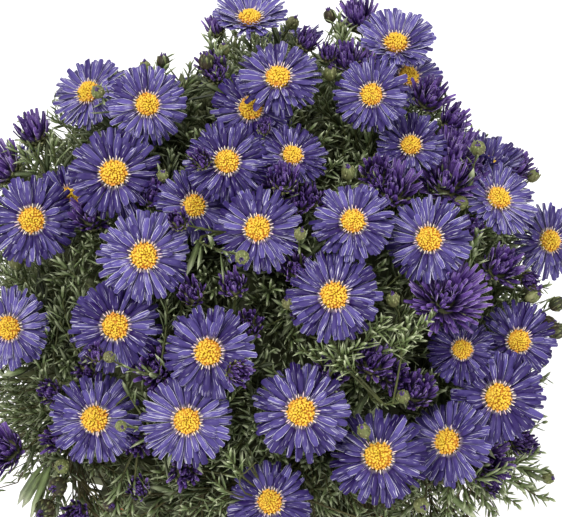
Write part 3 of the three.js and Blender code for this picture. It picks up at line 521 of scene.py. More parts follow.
def draw_stalks(name, lines, sides):
    """Round stalks through lines of points with a radius at each, as one mesh."""
    curve = bpy.data.curves.new(name, "CURVE")
    curve.dimensions = "3D"
    curve.bevel_depth = 1.0
    curve.bevel_resolution = (sides - 4) // 2
    curve.use_fill_caps = True
    for points, radii in lines:
        spline = curve.splines.new("POLY")
        spline.points.add(len(points) - 1)
        spline.points.foreach_set("co", np.c_[points, np.ones(len(points))].ravel())
        spline.points.foreach_set("radius", radii)
    drawn = bpy.data.objects.new(name, curve)
    mesh = bpy.data.meshes.new_from_object(drawn)
    bpy.data.objects.remove(drawn)
    mesh.shade_smooth()
    return mesh


solid_stems = [surface_of(f"leafy_stem_{i + 1}") for i in range(STEMS)]
trunks, forks, branches = [], [], [[] for _ in range(STEMS)]
for i in range(STEMS):
    heading = i * 2 * math.pi / STEMS - math.pi / 2
    outward = np.array([math.cos(heading), math.sin(heading), 0])
    trunks.append([outward * reach + np.array([0, 0, rise]) for reach, rise in (
        (CROWN_RADIUS, COMPOST_TOP - ROOTED_DEPTH), (CROWN_RADIUS, COMPOST_TOP + TRUNK_UPRIGHT),
        (TRUNK_BEND_RADIUS, MOUND_MIDDLE[2]), (TRUNK_TOP_RADIUS, MOUND_MIDDLE[2] + TRUNK_TOP_RISE))])
    joints = joints_of(trunks[i], TRUNK_THICK, TRUNK_STEPS, {"side": -outward, "r": 2 * TRUNK_THICK})
    forks.append(joints[BARE_JOINTS:TRUNK_STEPS])

# Where every open flower is, read from its solid: the stalk's end under it, its middle and the way it faces
blooms = []
for name in sorted(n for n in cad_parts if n.startswith("bloom_")):
    points = np.unique(np.round([v.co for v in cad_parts[name].data.vertices], 7), axis=0)
    facing = np.linalg.svd(points - points.mean(0))[2][2]
    rises = points @ facing
    if np.median(rises) - rises.min() < rises.max() - np.median(rises):
        facing, rises = -facing, -rises
    seat = points[rises.argmin()]
    facing = unit(points[np.argsort(rises)[-6:]].mean(0) - seat)
    middle = seat + facing * SEAT_DEPTH
    flat = (points - middle) - np.outer((points - middle) @ facing, facing)
    radius = np.linalg.norm(flat, axis=1).max()
    blooms.append({"name": name, "middle": middle, "facing": facing, "radius": radius})
for bloom in blooms:
    grow_branch(bloom["middle"] - bloom["facing"] * (SEAT_DEPTH + SEAT_GAP), bloom["facing"])


# The half-open heads' and the buds' places
# Each stands on a stalk of its own. Those on the plant's face are told by their place in the view, and those
# round the sides and back by a golden spiral over the mound. Some sit a little over its surface or under it.
# Each row: where its middle shows, diameter in mm, turn to the right and up in degrees, share of the mound
FACE_HEADS = (
    (34, 132, 17, -30, 50, 1.0), (211, 66, 13, -10, 30, 1.0), (307, 42, 12, 30, 40, 0.98),
    (358, 18, 17, -10, 50, 1.0), (429, 98, 17, 20, 30, 0.98), (452, 121, 15, 30, 30, 0.98),
    (514, 167, 16, 45, 35, 1.0), (91, 216, 17, -10, 20, 0.93), (179, 221, 11, -10, 20, 1.02),
    (201, 160, 11, -10, 20, 1.05), (284, 181, 14, 0, 30, 0.97), (233, 286, 13, -10, 20, 0.98),
    (192, 294, 13, -10, 20, 0.97), (302, 313, 10, -20, 0, 0.93), (446, 298, 26, 10, 20, 0.99),
    (500, 268, 17, 20, 20, 0.97), (528, 279, 10, 40, -10, 1.0), (95, 354, 10, -10, 20, 1.06),
    (51, 392, 12, -20, 10, 0.98), (6, 450, 20, -30, 10, 0.99), (139, 489, 12, -10, 10, 0.96),
    (237, 372, 12, 20, -10, 1.07), (373, 363, 16, 10, 20, 0.97), (416, 392, 17, 10, 20, 0.93),
    (530, 448, 10, 40, 10, 0.99), (492, 487, 9, 20, -10, 0.98), (264, 128, 8, 0, 30, 1.02))
FACE_BUDS = (
    (292, 23, 7, 40, 50, 0.99), (98, 92, 7, -10, 20, 1.08), (348, 173, 7, 0, 50, 0.98),
    (16, 262, 8, -30, 40, 0.95), (242, 257, 7, 0, -20, 1.09), (393, 300, 7, -10, 50, 0.98),
    (461, 203, 8, -20, -10, 0.96), (478, 148, 8, 0, 20, 1.07), (533, 176, 7, 50, 40, 1.02),
    (62, 466, 8, -10, -10, 0.98), (548, 478, 7, 40, 0, 1.02), (421, 505, 8, 10, -20, 0.99))
SMALL_BUDS = (
    (145, 67, 6, -10, 60, 1.0), (224, 50, 6, -10, 60, 0.99), (330, 74, 7, 10, 50, 0.97),
    (340, 28, 6, -20, 50, 0.97), (163, 176, 6, 0, 40, 0.98), (300, 234, 6, 20, 30, 1.08),
    (288, 304, 6, -20, 40, 0.98), (109, 357, 6, 10, 20, 1.09), (121, 426, 6, 10, -10, 1.09),
    (364, 431, 7, -20, 30, 1.05), (403, 397, 7, -10, 30, 1.0), (532, 297, 7, 60, 20, 1.01))
# Small heads deeper in, between the flowers, and small dark buds at the plant's edge
DEEP_HEADS = (
    (456, 152, 20, 20, 40, 0.97), (446, 182, 22, 0, 30, 0.94), (466, 178, 18, 20, 20, 0.94),
    (392, 190, 20, 0, 30, 0.95), (376, 174, 15, 0, 20, 0.95), (296, 202, 15, 0, 20, 0.95),
    (346, 60, 15, -10, 40, 0.96), (362, 64, 13, 0, 40, 0.95), (486, 462, 19, 20, 0, 0.96),
    (86, 84, 12, -20, 50, 0.97), (184, 471, 14, 0, -10, 0.96), (152, 196, 14, 0, 20, 0.94),
    (154, 366, 18, -10, 10, 0.95), (168, 380, 16, 0, 0, 0.95), (328, 376, 16, 0, 10, 0.95),
    (216, 28, 11, -20, 50, 1.0), (56, 440, 13, -20, 0, 0.96), (248, 326, 14, 0, 10, 0.95),
    (216, 72, 13, -10, 30, 0.96), (392, 376, 14, 10, 0, 0.94), (519, 441, 13, 30, 0, 0.97),
    (264, 184, 13, 0, 20, 0.94), (312, 200, 12, 0, 20, 0.94), (136, 440, 14, 0, -10, 0.96),
    (296, 270, 14, 0, 10, 0.95), (4, 168, 20, -50, 30, 1.0), (472, 230, 12, 10, 20, 0.95),
    (77, 514, 14, -10, -10, 0.99), (328, 54, 10, 0, 40, 0.98), (88, 372, 12, -10, 0, 0.95))
EDGE_BUDS = (
    (531, 294, 10, 50, 30, 1.0), (557, 304, 8, 60, 30, 1.05), (556, 331, 9, 60, 10, 1.05),
    (58, 486, 10, -20, -10, 0.99), (45, 509, 11, -20, -20, 1.0), (112, 503, 10, 0, -20, 0.98),
    (206, 62, 8, -10, 60, 1.0), (163, 62, 7, 0, 60, 1.0), (330, 16, 7, -20, 60, 1.0),
    (548, 322, 7, 60, 0, 1.02))
# Each row: how many, turns of the spiral, where it runs from and to as shares of the mound's height, the
# smallest diameter, what a draw adds to it, and the draw's seed
HIDDEN_HEADS = (7, 20, 0.6, -0.4, 11, 9, 21)
HIDDEN_BUDS = (3, 12, 0.6, -0.45, 6, 2, 22)
SPIRAL_START, HIDDEN_FROM, HIDDEN_SHARE = math.radians(148), -0.16, 0.97
GOLDEN_ANGLE = math.pi * (3 - math.sqrt(5))
# How far behind its middle a head or bud sits on its stalk, as a share of its diameter
SEAT_SHARE = 0.25
TIP_SHIFTS = (0, 3, -3, 6, -6, 9, -9, 12, -12, 16, -16, 20, -20, 25, -25)
FITS_WITHIN = 0.4 * MM


def drawer(seed):
    """The source's own seeded draws from 0 to 1."""
    state = seed
    while True:
        state = (state + 0x6D2B79F5) & 0xFFFFFFFF
        t = (state ^ state >> 15) * (1 | state) & 0xFFFFFFFF
        t = (t + ((t ^ t >> 7) * (61 | t) & 0xFFFFFFFF) & 0xFFFFFFFF) ^ t
        yield (t ^ t >> 14) / 4294967296


def mound_point(u, v, share):
    """Where the sight line through a place in the view meets the mound, at a share of its size."""
    target = LOOK_AT + RIGHT * (u - FRAME_WIDTH / 2) * PIXEL + UP * (FRAME_HEIGHT / 2 - v) * PIXEL
    sight = unit(target - EYE)
    start, along = (EYE - MOUND_MIDDLE) / MOUND_RADII, sight / MOUND_RADII
    a, b, c = along @ along, start @ along, start @ start - share * share
    return EYE + sight * (-b - math.sqrt(max(0, b * b - a * c))) / a, sight


def face_place(u, v, across, right, up, share):
    """Where a head or bud on the plant's face is and how it faces, from its row in the tables."""
    point, sight = mound_point(u, v, share)
    right, up = math.radians(right), math.radians(up)
    facing = (-sight * math.cos(right) * math.cos(up) + RIGHT * math.sin(right) * math.cos(up)
              + UP * math.sin(up))
    return {"middle": point, "facing": unit(facing), "sink": sight, "across": across * MM}


def hidden_places(count, turns, highest, lowest, across, spread, seed):
    """Where the heads or buds are that the view doesn't show, on a golden spiral over the mound."""
    draw = drawer(seed)
    places = []
    i = 0
    while len(places) < count:
        height = highest - (highest - lowest) * (i + 0.5) / turns
        angle = SPIRAL_START + i * GOLDEN_ANGLE
        flat = math.sqrt(max(0, 1 - height * height))
        way = np.array([math.cos(angle) * flat, math.sin(angle) * flat, height])
        outward = unit(way / MOUND_RADII)
        i += 1
        if outward @ BACK > HIDDEN_FROM:
            continue
        tilt = np.array([next(draw) - 0.5, next(draw) - 0.5, 0.9 + next(draw) * 0.6]) * 0.5
        middle = way * MOUND_RADII * HIDDEN_SHARE + MOUND_MIDDLE
        places.append({"middle": middle, "facing": unit(outward + tilt), "sink": -outward,
                       "across": (across + next(draw) * spread) * MM})
    return places


def frame_facing(facing, spin):
    """The frame (rows: X, Y and Z) that faces a way, spun about it."""
    turn = Vector((0, 0, 1)).rotation_difference(Vector(facing)) @ Quaternion((0, 0, 1), spin)
    return np.array(turn.to_matrix()).T


def corners_of(across, sides, rows):
    """Corners of a solid head or bud: for each row, its radius and height as shares of half its diameter."""
    turns = np.arange(sides) * 2 * math.pi / sides
    return np.array([(math.sin(a) * r * across / 2, -math.cos(a) * r * across / 2, z * across / 2)
                     for k, a in enumerate(turns) for r, z in rows(k)])


def settle(place, spin, sides, rows):
    """The head or bud at its place, as near or deep as its solid is, on a branch of its own. There is none
    where the solids have none."""
    frame_of = frame_facing(place["facing"], spin)
    shape = corners_of(place["across"], sides, rows) @ frame_of
    found = []
    for shift in TIP_SHIFTS:
        middle = place["middle"] + place["sink"] * shift * MM
        seat = middle - place["facing"] * place["across"] * SEAT_SHARE
        number = stem_at(middle)
        if stem_at(seat) == number:
            found.append((off_stem(number, shape + middle), middle, seat, number))
    off, middle, seat, number = min(found, key=lambda way: way[0], default=(1, None, None, None))
    if off > FITS_WITHIN:
        return None
    grow_branch(seat, place["facing"])
    return {"middle": middle, "facing": place["facing"], "across": place["across"], "stem": number}


def head_rows(k):
    """The corners on one side of a solid head, which flares out on every other side."""
    return ((0.66, -0.3), (0.8, 0.6875) if k % 2 == 0 else (1.12, 0.4675))


def bud_rows(k):
    """The corners on one side of a solid bud, which are alike all round."""
    return ((1, -0.1), (0.5, 0.95))


head_places = [face_place(*row) for row in FACE_HEADS] + hidden_places(*HIDDEN_HEADS)
heads = [settle(place, spin, 8, head_rows) for spin, place in enumerate(head_places)]
bud_places = [face_place(*row) for row in FACE_BUDS] + hidden_places(*HIDDEN_BUDS)
buds = [settle(place, spin, 5, bud_rows) for spin, place in enumerate(bud_places)]


# The open flowers' rays
# Eighty narrow blue-violet rays to a flower, in three overlapping rows round its disc. Each is a thin strap
# with a blunt tip and a shallow gutter, pale at its root and along its edges. The pale edges are partly its
# own paler margin and partly a painted highlight, and fine pale streaks along it are painted highlights.
# Each row: number, root as a share of the disc and its height in mm, lift in degrees, reach as shares of the
# flower. The last is the top row, shorter and higher
RAY_ROWS = ((31, 0.88, -1.3, (-6, 3), (0.93, 1.04)), (28, 0.93, -0.5, (-1, 8), (0.84, 1.01)),
            (21, 0.97, 0.4, (4, 20), (0.62, 0.93)))
RAY_OUTLINE = ((0, 0.42), (0.33, 0.8), (0.67, 1.0), (1, 0.7))
RAY_WIDTH, RAY_THICK = 0.14, 0.16 * MM
DISC_SHARE = 0.295
# Flowers paler and deeper than the rest, and those whose rays still stand up, by how many degrees
PALER = (
    "bloom_04", "bloom_06", "bloom_19", "bloom_20", "bloom_21", "bloom_24", "bloom_25", "bloom_29",
    "bloom_30")
DEEPER = (
    "bloom_09", "bloom_13", "bloom_15", "bloom_16", "bloom_18", "bloom_22", "bloom_27", "bloom_28",
    "bloom_31", "bloom_32", "bloom_33", "bloom_34", "bloom_35")
CUPPED = {"bloom_11": 6, "bloom_14": 10, "bloom_17": 8, "bloom_19": 14, "bloom_20": 8, "bloom_24": 30,
          "bloom_25": 26, "bloom_27": 16, "bloom_30": 14, "bloom_32": 18, "bloom_35": 50, "bloom_36": 20,
          "bloom_40": 16}
TINT, TINT_PALER, TINT_DEEPER = 0.42, 0.24, 0.2


def blade(segments, outline):
    """A flat strap a unit long and two across, closed, with its outline's width."""
    strap = bmesh.new()
    bmesh.ops.create_grid(strap, x_segments=segments, y_segments=2, size=1)
    for vert in strap.verts:
        vert.co.x = (vert.co.x + 1) / 2 - (0.03 if vert.co.x > 0.99 and abs(vert.co.y) > 0.5 else 0)
    bmesh.ops.solidify(strap, geom=strap.faces[:], thickness=1)
    return pattern_of(strap, outline)


def bend(pattern, length, width, thick, lift, curl, sway=0.0, twist=0.0, dish=0.0):
    """Copies of a blade, each along its own X: raised by its lift, curled up, swayed and twisted."""
    along, across, layer = pattern["points"].T[:, None, :]
    length, width, lift, curl, sway, twist, dish = (
        np.reshape(value, (-1, 1)) for value in (length, width, lift, curl, sway, twist, dish))
    curl = np.where(np.abs(curl) < 1e-3, 1e-3, curl)
    rise, turn = lift + curl * along, twist * along
    side, up = across * width / 2, layer * thick + dish * width * across ** 2
    side, up = side * np.cos(turn) - up * np.sin(turn), side * np.sin(turn) + up * np.cos(turn)
    return np.stack([length * (np.sin(rise) - np.sin(lift)) / curl - up * np.sin(rise),
                     side + sway * length * along ** 2,
                     length * (np.cos(lift) - np.cos(rise)) / curl + up * np.cos(rise)], -1)


def frames_round(facing, headings):
    """Frames whose X runs out from an axis, at headings round it, and whose Z is the axis."""
    start = unit(np.cross(facing, [0.3, 0.2, 0.9] if abs(facing[2]) < 0.9 else [1, 0, 0]))
    other = np.cross(facing, start)
    out = np.cos(headings)[:, None] * start + np.sin(headings)[:, None] * other
    axis = np.broadcast_to(facing, out.shape)
    return np.stack([out, np.cross(axis, out), axis], 1)


def along_and_across(tree):
    """A place along a copy and across it, from its UV map."""
    mapped = node(tree, "UVMap", {"uv_map": "along"}).outputs[0]
    return node(tree, "SeparateXYZ", Vector=mapped).outputs[:2]


def make_streaks():
    """Fine lines along a ray or a leaf and its two edges, read from the UV map that runs along it."""
    group = bpy.data.node_groups.new("blade streaks", "ShaderNodeTree")
    for name, value in (("Lines", 6.0), ("Seed", 0.0)):
        group.interface.new_socket(name, in_out="INPUT", socket_type="NodeSocketFloat").default_value = value
    for name in ("Streaks", "Ribs", "Edge", "Along"):
        group.interface.new_socket(name, in_out="OUTPUT", socket_type="NodeSocketFloat")
    given, out = group.nodes.new("NodeGroupInput"), group.nodes.new("NodeGroupOutput")
    along, across = along_and_across(group)
    lines = node(group, "CombineXYZ", X=sum_up(group, "MULTIPLY", along, 1.6),
                 Y=sum_up(group, "MULTIPLY", across, given.outputs["Lines"]),
                 Z=sum_up(group, "MULTIPLY", given.outputs["Seed"], 61.0))
    found = noise_of(group, lines.outputs[0], 1.0, 1.5)
    off_middle = sum_up(group, "ABSOLUTE", sum_up(group, "SUBTRACT", across, 0.5))
    group.links.new(step_up(group, found, 0.62, 0.7), out.inputs["Streaks"])
    group.links.new(found, out.inputs["Ribs"])
    group.links.new(step_up(group, off_middle, 0.43, 0.49), out.inputs["Edge"])
    group.links.new(along, out.inputs["Along"])
    return group


def petal_paint(name, deep, light, pale, highlight_streak_share):
    """A ray's colour: a deep and a light violet by its own tint, with a pale root, pale streaks that are
    painted highlights, and pale edges that are partly its paler margin and partly painted highlights.
    """
    made, tree, shader = paint(name, 0.5, Specular_IOR_Level=0.35)
    tint = own_tint(tree)
    marks = node(tree, "Group", {"node_tree": streaks}, Lines=7.0, Seed=tint).outputs
    colour = mixed(tree, tint, deep, light)
    # Painted highlights: the pale streaks, and in part the pale edges, stand for light catching the ray.
    colour = mixed(tree, sum_up(tree, "MULTIPLY", marks["Streaks"], highlight_streak_share), colour, pale)
    edge = sum_up(tree, "MULTIPLY", marks["Edge"], step_up(tree, tint, 0.35, 0.8))
    colour = mixed(tree, sum_up(tree, "MULTIPLY", edge, 0.95), colour, pale)
    root = sum_up(tree, "MULTIPLY", step_up(tree, marks["Along"], 0.16, 0.0), 0.45)
    colour = mixed(tree, root, colour, pale)
    tree.links.new(colour, shader.inputs["Base Color"])
    tree.links.new(sum_up(tree, "MULTIPLY_ADD", marks["Ribs"], 0.3, 0.34), shader.inputs["Roughness"])
    bump_up(tree, shader, marks["Ribs"], 0.55, 0.0003)
    return made


streaks = make_streaks()
# The pale tone is the rays' pale root and the colour of their painted highlights.
petal = petal_paint("violet_ray", tone(44, 25, 88), tone(96, 84, 156), tone(240, 237, 252), 0.7)
ray = blade(3, RAY_OUTLINE)
for number, bloom in enumerate(blooms):
    rng = np.random.default_rng(300 + number)
    radius, facing = bloom["radius"], bloom["facing"]
    disc = radius * DISC_SHARE
    cupped = CUPPED.get(bloom["name"], rng.uniform(-2, 5))
    tinted = TINT + TINT_PALER * (bloom["name"] in PALER) - TINT_DEEPER * (bloom["name"] in DEEPER)
    tinted += rng.normal(0, 0.05)
    sets = []
    for count, root, rise, lifts, reaches in RAY_ROWS:
        headings = (np.arange(count) + rng.uniform(-0.28, 0.28, count) + rng.random()) * 2 * math.pi / count
        length = radius * rng.uniform(*reaches, count) - root * disc
        lift = np.radians(cupped + rng.uniform(*lifts, count))
        shapes = bend(ray, length, radius * RAY_WIDTH * rng.uniform(0.85, 1.15, count), RAY_THICK, lift,
                      rng.normal(-0.12, 0.2, count), rng.normal(0, 0.05, count), rng.normal(0, 0.35, count),
                      rng.uniform(0.04, 0.16, count))
        turned = frames_round(facing, headings)
        roots = bloom["middle"] + turned[:, 0] * root * disc + facing * rise * MM
        sets.append((ray, set_out(shapes, roots, turned), np.clip(rng.normal(tinted, 0.27, count), 0, 1)))
    place(mesh_of(bloom["name"] + "_rays", *sets), bloom["name"] + "_rays", petal, "petals", [bloom["name"]])


# The open flowers' discs
# A low golden cushion of a hundred tiny tubular florets, packed in the sunflower's spirals: small tight buds
# at its middle, open ones at its rim, and round it a fringe of cream points that stand over the rays' roots.
# All sizes are shares of the disc's radius
FLORETS, FRINGE = 100, 28
DISC_RISE, DISC_SPREAD, CUSHION = 0.62, 0.84, (0.9, 0.9, 0.5)
FLORET_SIZE, FLORET_GROWTH = (0.15, 0.07, 0.07), (0.09, 0.024, 0.024)
FRINGE_LENGTHS, FRINGE_WIDTH, FRINGE_THICK, FRINGE_RISE = (0.3, 0.58), 0.075, 0.04, 0.24

floret_paint, tree, shader = paint("golden_floret", 0.55, Specular_IOR_Level=0.3)
tint = own_tint(tree)
height_up, _ = along_and_across(tree)
gold = node(tree, "ValToRGB", Fac=tint)
gold.color_ramp.elements[0].position, gold.color_ramp.elements[0].color = 0.0, tone(214, 180, 52)
gold.color_ramp.elements[1].position, gold.color_ramp.elements[1].color = 1.0, tone(232, 160, 74)
for where_to, colour in ((0.3, tone(244, 206, 68)), (0.7, tone(246, 206, 76)), (0.9, tone(238, 182, 74))):
    gold.color_ramp.elements.new(where_to).color = colour
# Each floret darkens towards its root: a painted shade in the gaps between the florets.
shade = mixed(tree, step_up(tree, height_up, 0.7, 0.1), gold.outputs[0], tone(212, 146, 48))
tree.links.new(shade, shader.inputs["Base Color"])
fringe_paint, tree, shader = paint("cream_fringe", 0.5)
tint = own_tint(tree)
tree.links.new(mixed(tree, tint, tone(250, 240, 214), tone(240, 206, 214)), shader.inputs["Base Color"])

floret = bmesh.new()
bmesh.ops.create_cone(floret, cap_ends=True, segments=5, radius1=0.75, radius2=1, depth=1)
crown = max(floret.faces, key=lambda face: face.calc_center_median().z)
bmesh.ops.poke(floret, faces=[crown], offset=0.28)
bmesh.ops.rotate(floret, verts=floret.verts, matrix=Matrix.Rotation(math.pi / 2, 3, "Y"))
bmesh.ops.translate(floret, verts=floret.verts, vec=(0.5, 0, 0))
floret = pattern_of(floret)
# A three-edged closed blade, pointed at both ends, which is set out in thousands as points, scales and leaves
point = bmesh.new()
bmesh.ops.create_cone(point, cap_ends=True, segments=3, radius1=1, radius2=1, depth=0.42)
bmesh.ops.poke(point, faces=[face for face in point.faces if len(face.verts) == 3])
bmesh.ops.rotate(point, verts=point.verts, matrix=Matrix.Rotation(-math.pi / 2, 3, "Z"))
bmesh.ops.rotate(point, verts=point.verts, matrix=Matrix.Rotation(math.pi / 2, 3, "Y"))
for vert in point.verts:
    vert.co.x = 0.5 + (math.copysign(0.5, vert.co.x) if vert.co.yz.length < 0.01 else vert.co.x)
bmesh.ops.scale(point, verts=point.verts, vec=(1, 1 / 0.866, 1))
point = pattern_of(point)


def ball(segments, rings):
    """A round body as a pattern."""
    shape = bmesh.new()
    bmesh.ops.create_uvsphere(shape, u_segments=segments, v_segments=rings, radius=1)
    return pattern_of(shape)


dome = ball(12, 6)
for number, bloom in enumerate(blooms):
    rng = np.random.default_rng(700 + number)
    disc, facing = bloom["radius"] * DISC_SHARE, bloom["facing"]
    share = np.sqrt((np.arange(FLORETS) + 0.5) / FLORETS)
    headings = np.arange(FLORETS) * GOLDEN_ANGLE + rng.normal(0, 0.05, FLORETS) / share
    turned = frames_round(facing, headings)
    leaning = 0.5 * share ** 2 + rng.normal(0, 0.12, FLORETS)
    outward = turned[:, 0] * np.sin(leaning)[:, None] + facing * np.cos(leaning)[:, None]
    stood = np.stack([outward, turned[:, 1], np.cross(outward, turned[:, 1])], 1)
    rise = DISC_RISE * (1 - 0.75 * share ** 2.4) - 0.1
    roots = bloom["middle"] + (turned[:, 0] * share[:, None] * DISC_SPREAD + facing * rise[:, None]) * disc
    size = disc * (np.array(FLORET_SIZE) + np.outer(share, FLORET_GROWTH))
    size *= rng.uniform(0.8, 1.25, (FLORETS, 1))
    florets = set_out(floret["points"] * size[:, None], roots, stood)
    base = dome["points"] * CUSHION @ frames_round(facing, np.zeros(1))[0] * disc
    headings = (np.arange(FRINGE) + rng.uniform(-0.3, 0.3, FRINGE)) * 2 * math.pi / FRINGE
    turned = frames_round(facing, headings)
    lengths = disc * rng.uniform(*FRINGE_LENGTHS, FRINGE)
    points = bend(point, lengths, disc * FRINGE_WIDTH, disc * FRINGE_THICK, rng.uniform(0.1, 1.0, FRINGE),
                  rng.uniform(-0.6, 0.3, FRINGE))
    roots = bloom["middle"] + turned[:, 0] * disc * DISC_SPREAD + facing * disc * FRINGE_RISE
    tints = np.clip(share * 0.96 + rng.normal(0, 0.08, FLORETS), 0, 1)
    mesh = mesh_of(bloom["name"] + "_disc", (floret, florets, tints),
                   (dome, (base + bloom["middle"])[None], np.array([0.6])),
                   (point, set_out(points, roots, turned), rng.random(FRINGE)))
    mesh.materials.append(floret_paint)
    fringe_from = FLORETS * len(floret["sizes"]) + len(dome["sizes"])
    which = np.zeros(len(mesh.polygons), dtype=np.int32)
    which[fringe_from:] = 1
    mesh.polygons.foreach_set("material_index", which)
    place(mesh, bloom["name"] + "_disc", fringe_paint, "disc")


# The cups and the buds
# Each stalk swells at its end into a green cup, wrapped in rows of narrow pointed scales that turn out at
# their tips. A closed bud is the same cup drawn together over its rays, olive green, purple where they show.
# The cup's outline, as radius and height in shares of the disc
CUP_OUTLINE = ((0, -1.4), (0.2, -1.35), (0.46, -1.0), (0.68, -0.6), (0.8, -0.28), (0.5, -0.2), (0, -0.2))
# Each row: number of scales, root radius, height and length as shares of the disc, lift in degrees
CUP_ROWS = ((10, 0.3, -1.2, 0.62, 58), (12, 0.52, -0.92, 0.66, 62), (14, 0.7, -0.6, 0.6, 60))
BUD_ROWS = ((7, 0.42, -0.85, 0.9, 52), (8, 0.72, -0.5, 0.95, 72), (8, 0.86, -0.05, 0.95, 96),
            (7, 0.72, 0.42, 0.75, 118))
CUP_SIDES, HEAD_CUP = 9, 0.38
# A bud's shape in shares of its radius, and the rays at its tip
EGG, BUD_RAYS = (0.86, 0.86, 1.0), 9


def leaf_paint(name, dark, light, tip, flush):
    """Foliage: dark to light green by its own tint, paler in streaks, and paler at the tip by as much as its
    tint is light, a painted highlight; mottled and rough.
    """
    made, tree, shader = paint(name, 0.6, Specular_IOR_Level=0.3)
    tint = own_tint(tree)
    marks = node(tree, "Group", {"node_tree": streaks}, Lines=5.0, Seed=tint).outputs
    patches, grain = mottle_in(tree, 160.0, 2400.0)
    colour = mixed(tree, tint, dark, light)
    colour = mixed(tree, sum_up(tree, "MULTIPLY", patches, 0.35), colour, flush)
    # The tip pales most on the lightest leaves: a painted highlight where light catches them.
    bright = sum_up(tree, "MULTIPLY", step_up(tree, marks["Along"], 0.45, 1.0), tint)
    colour = mixed(tree, sum_up(tree, "MULTIPLY", bright, 0.7), colour, tip)
    colour = mixed(tree, sum_up(tree, "MULTIPLY", marks["Streaks"], 0.25), colour, tip)
    tree.links.new(colour, shader.inputs["Base Color"])
    tree.links.new(sum_up(tree, "MULTIPLY_ADD", grain, 0.3, 0.42), shader.inputs["Roughness"])
    bump_up(tree, shader, sum_up(tree, "ADD", marks["Ribs"], grain), 0.3, 0.0002)
    return made


scale_paint = leaf_paint("cup_scales", dark=tone(44, 50, 32), light=tone(126, 136, 80),
                         tip=tone(186, 186, 136), flush=tone(92, 62, 62))
cup = pattern_of(turned_from(CUP_OUTLINE, CUP_SIDES, 1))


def scales_round(rng, middle, facing, size, rows, curl):
    """Rows of pointed scales round an axis, as one set of copies."""
    shapes, roots, frames = [], [], []
    for count, root, rise, length, lift in rows:
        headings = (np.arange(count) + rng.random() + rng.uniform(-0.15, 0.15, count)) * 2 * math.pi / count
        turned = frames_round(facing, headings)
        lengths = size * length * rng.uniform(0.85, 1.15, count)
        lifts = np.radians(lift + rng.uniform(-6, 6, count))
        curls = rng.uniform(*curl, count)
        shapes.append(bend(point, lengths, size * 0.34, size * 0.05, lifts, curls, dish=0.12))
        roots.append(middle + turned[:, 0] * root * size + facing * rise * size)
        frames.append(turned)
    spots = set_out(np.concatenate(shapes), np.concatenate(roots), np.concatenate(frames))
    return point, spots, np.clip(rng.normal(0.45, 0.25, len(spots)), 0, 1)


def cup_under(rng, middle, facing, size):
    """A cup's body and its scales."""
    turned = frames_round(facing, np.array([rng.random()]))
    body = set_out(cup["points"][None] * size, middle[None], turned)
    return [(cup, body, np.array([0.4])), scales_round(rng, middle, facing, size, CUP_ROWS, (-0.9, -0.2))]


cups = [[] for _ in range(STEMS)]
rng = np.random.default_rng(41)
for bloom in blooms:
    under = bloom["middle"] - bloom["facing"] * 0.3 * MM
    cups[stem_at(bloom["middle"] - bloom["facing"] * SEAT_DEPTH)] += cup_under(
        rng, under, bloom["facing"], bloom["radius"] * DISC_SHARE)
heads, buds = [head for head in heads if head], [bud for bud in buds if bud]
for row in DEEP_HEADS + SMALL_BUDS + EDGE_BUDS:
    found = face_place(*row)
    seat = found["middle"] - found["facing"] * found["across"] * SEAT_SHARE
    found["stem"] = stem_at(seat)
    grow_branch(seat, found["facing"], in_solid=False)
    found["dark"] = row in EDGE_BUDS
    (heads if row in DEEP_HEADS else buds).append(found)
for head in heads:
    cups[head["stem"]] += cup_under(rng, head["middle"], head["facing"], head["across"] * HEAD_CUP)
for i, parts in enumerate(cups):
    place(mesh_of(f"stem_{i + 1}_cups", *parts), f"stem_{i + 1}_cups", scale_paint, "foliage")
bud_parts, tufts = [[] for _ in range(STEMS)], [[] for _ in range(STEMS)]
egg = ball(10, 7)
for bud in buds:
    size = bud["across"] / 2
    body = set_out(egg["points"][None] * EGG * size, bud["middle"][None],
                   frames_round(bud["facing"], np.zeros(1)))
    scale, spots, tints = scales_round(rng, bud["middle"], bud["facing"], size, BUD_ROWS, (0.2, 0.7))
    base, tints = (0.0, tints * 0.7) if bud.get("dark") else (0.65, tints + 0.3)
    bud_parts[bud["stem"]] += [(egg, body, np.array([base])), (scale, spots, np.clip(tints, 0, 1))]
    headings = rng.random(BUD_RAYS) * 2 * math.pi
    turned = frames_round(bud["facing"], headings)
    shapes = bend(point, size * rng.uniform(0.5, 0.9, BUD_RAYS), size * 0.24, size * 0.08,
                  np.radians(rng.uniform(70, 100, BUD_RAYS)), rng.uniform(0, 0.6, BUD_RAYS))
    roots = bud["middle"] + turned[:, 0] * size * 0.22 + bud["facing"] * size * 0.6
    tufts[bud["stem"]].append((point, set_out(shapes, roots, turned), rng.uniform(0, 0.6, BUD_RAYS)))
for i, parts in enumerate(bud_parts):
    if parts:
        place(mesh_of(f"stem_{i + 1}_buds", *parts), f"stem_{i + 1}_buds", scale_paint, "foliage")


# The half-open heads
# Heads about to open stand on their cups as brushes of narrow upright rays, deeper and more purple than the
# open flowers. The wider a head, the further its outer rays have begun to lean out.
HEAD_OUTLINE = ((0, 0.6), (0.5, 1.0), (1, 0.62))
# Each row: share of the rays, root radius as a share, lift in degrees closed and wide, reach as shares
HEAD_ROWS = ((0.3, 0.58, (60, 26), (0.95, 1.2)), (0.27, 0.44, (68, 42), (1.05, 1.3)),
             (0.25, 0.28, (78, 58), (1.05, 1.3)), (0.18, 0.14, (86, 72), (0.9, 1.2)))
# A head is shut at this radius in mm, and opens over the next ones. How many rays it has at least, how many
# more for each mm of its radius, and how many more when it is wide open
SHUT_RADIUS, OPENS_OVER = 5, 8
FEWEST_RAYS, RAYS_FOR_SIZE, RAYS_FOR_OPEN = 18, 5, 45
WIDEST_HEAD_RAY = 2.2 * MM
